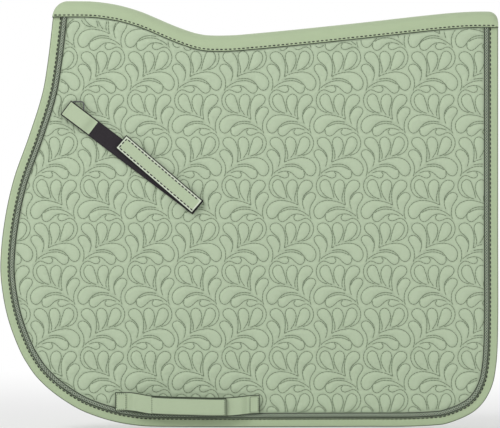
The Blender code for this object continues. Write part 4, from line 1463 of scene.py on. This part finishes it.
def floor():
    """Pale floor just under the hem, which fades to white away from the pad."""
    turns = math.tau * np.arange(64) / 64
    height = CAD_BOX[0].z - 3 * MM
    ring = [(FLOOR_RADIUS * math.cos(a), FLOOR_RADIUS * math.sin(a), height) for a in turns]
    mesh = new_mesh("floor", ring, [tuple(range(len(ring)))])
    m = Nodes(bpy.data.materials.new("pale_floor"))
    shader = m.tree.nodes["Principled BSDF"]
    m.fill(shader, {"Base Color": (0.86, 0.86, 0.86, 1.0), "Roughness": 0.9, "Specular IOR Level": 0.1})
    distance = m.add("VectorMath", operation="LENGTH")
    m.put(m.add("NewGeometry").outputs["Position"], distance.inputs[0])
    fade = m.add("MapRange", interpolation_type="SMOOTHSTEP", Value=distance.outputs["Value"],
                 From_Min=0.7, From_Max=FLOOR_RADIUS * 0.9, To_Min=0.0, To_Max=1.0)
    seen = m.add("LightPath").outputs
    camera_like = m.math("MAXIMUM", seen["Is Camera Ray"], seen["Is Glossy Ray"])
    white_share = m.math("ADD", m.math("MULTIPLY", fade.outputs[0], 0.72), 0.28)
    share = m.math("MULTIPLY", camera_like, white_share)
    m.mix_shaders(share, shader, m.add("Emission", Strength=1.0), "Material Output")
    mesh.materials.append(m.owner)
    plane = placed("floor", mesh)
    plane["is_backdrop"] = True


def studio():
    """White world behind the pad and weaker light from all round it, with three lamps."""
    world = bpy.data.worlds.new("studio")
    bpy.context.scene.world = world
    w = Nodes(world)
    light = w.tree.nodes["Background"]
    w.fill(light, {"Color": (1.0, 1.0, 1.0, 1.0), "Strength": 0.5})
    white = w.add("Background", Color=(1.0, 1.0, 1.0, 1.0), Strength=1.0)
    seen = w.add("LightPath").outputs
    either = w.math("MAXIMUM", seen["Is Camera Ray"], seen["Is Transmission Ray"])
    w.mix_shaders(either, light, white, "World Output")
    low, high = CAD_BOX
    middle = Vector(((low.x + high.x) / 2, 0.0, (low.z + high.z) / 2))
    for name, place, size, power in (
        ("key", (-1.6, -1.7, 1.5), 1.1, 34.0),
        ("fill", (1.9, -2.0, 0.4), 1.6, 12.0),
        ("back", (0.6, 2.4, 1.4), 1.6, 26.0),
    ):
        lamp = bpy.data.lights.new(name, "AREA")
        lamp.size, lamp.energy = size, power
        holder = placed(name, lamp)
        holder.location = place
        holder.rotation_euler = (middle - Vector(place)).to_track_quat("-Z", "Y").to_euler()


def side_camera():
    """Camera of the side view, from far enough away to be nearly parallel."""
    lens = bpy.data.cameras.new("side_view")
    lens.lens = 400.0
    lens.clip_start, lens.clip_end = 0.05, 60.0
    camera = placed("side_view", lens)
    camera.location = (VIEW_X, -SEAT - VIEW_WIDTH * lens.lens / lens.sensor_width, VIEW_Z)
    camera.rotation_euler = (math.pi / 2, 0.0, 0.0)
    bpy.context.scene.camera = camera
    bpy.context.scene.view_settings.view_transform = "Standard"


LINES = plume_lines()
quilt(LINES)
quilt_stitches(LINES)
spine_wadding()
lining(LINES)
foam()
edge_binding()
trim_cord()
spine_band()
spine_tape()
upper_strap()
keeper_ring()
girth_loop()
floor()
studio()
side_camera()

boxes = {"cad": CAD_BOX, "visual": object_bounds()}
{key: [list(corner) for corner in box] for key, box in boxes.items()}
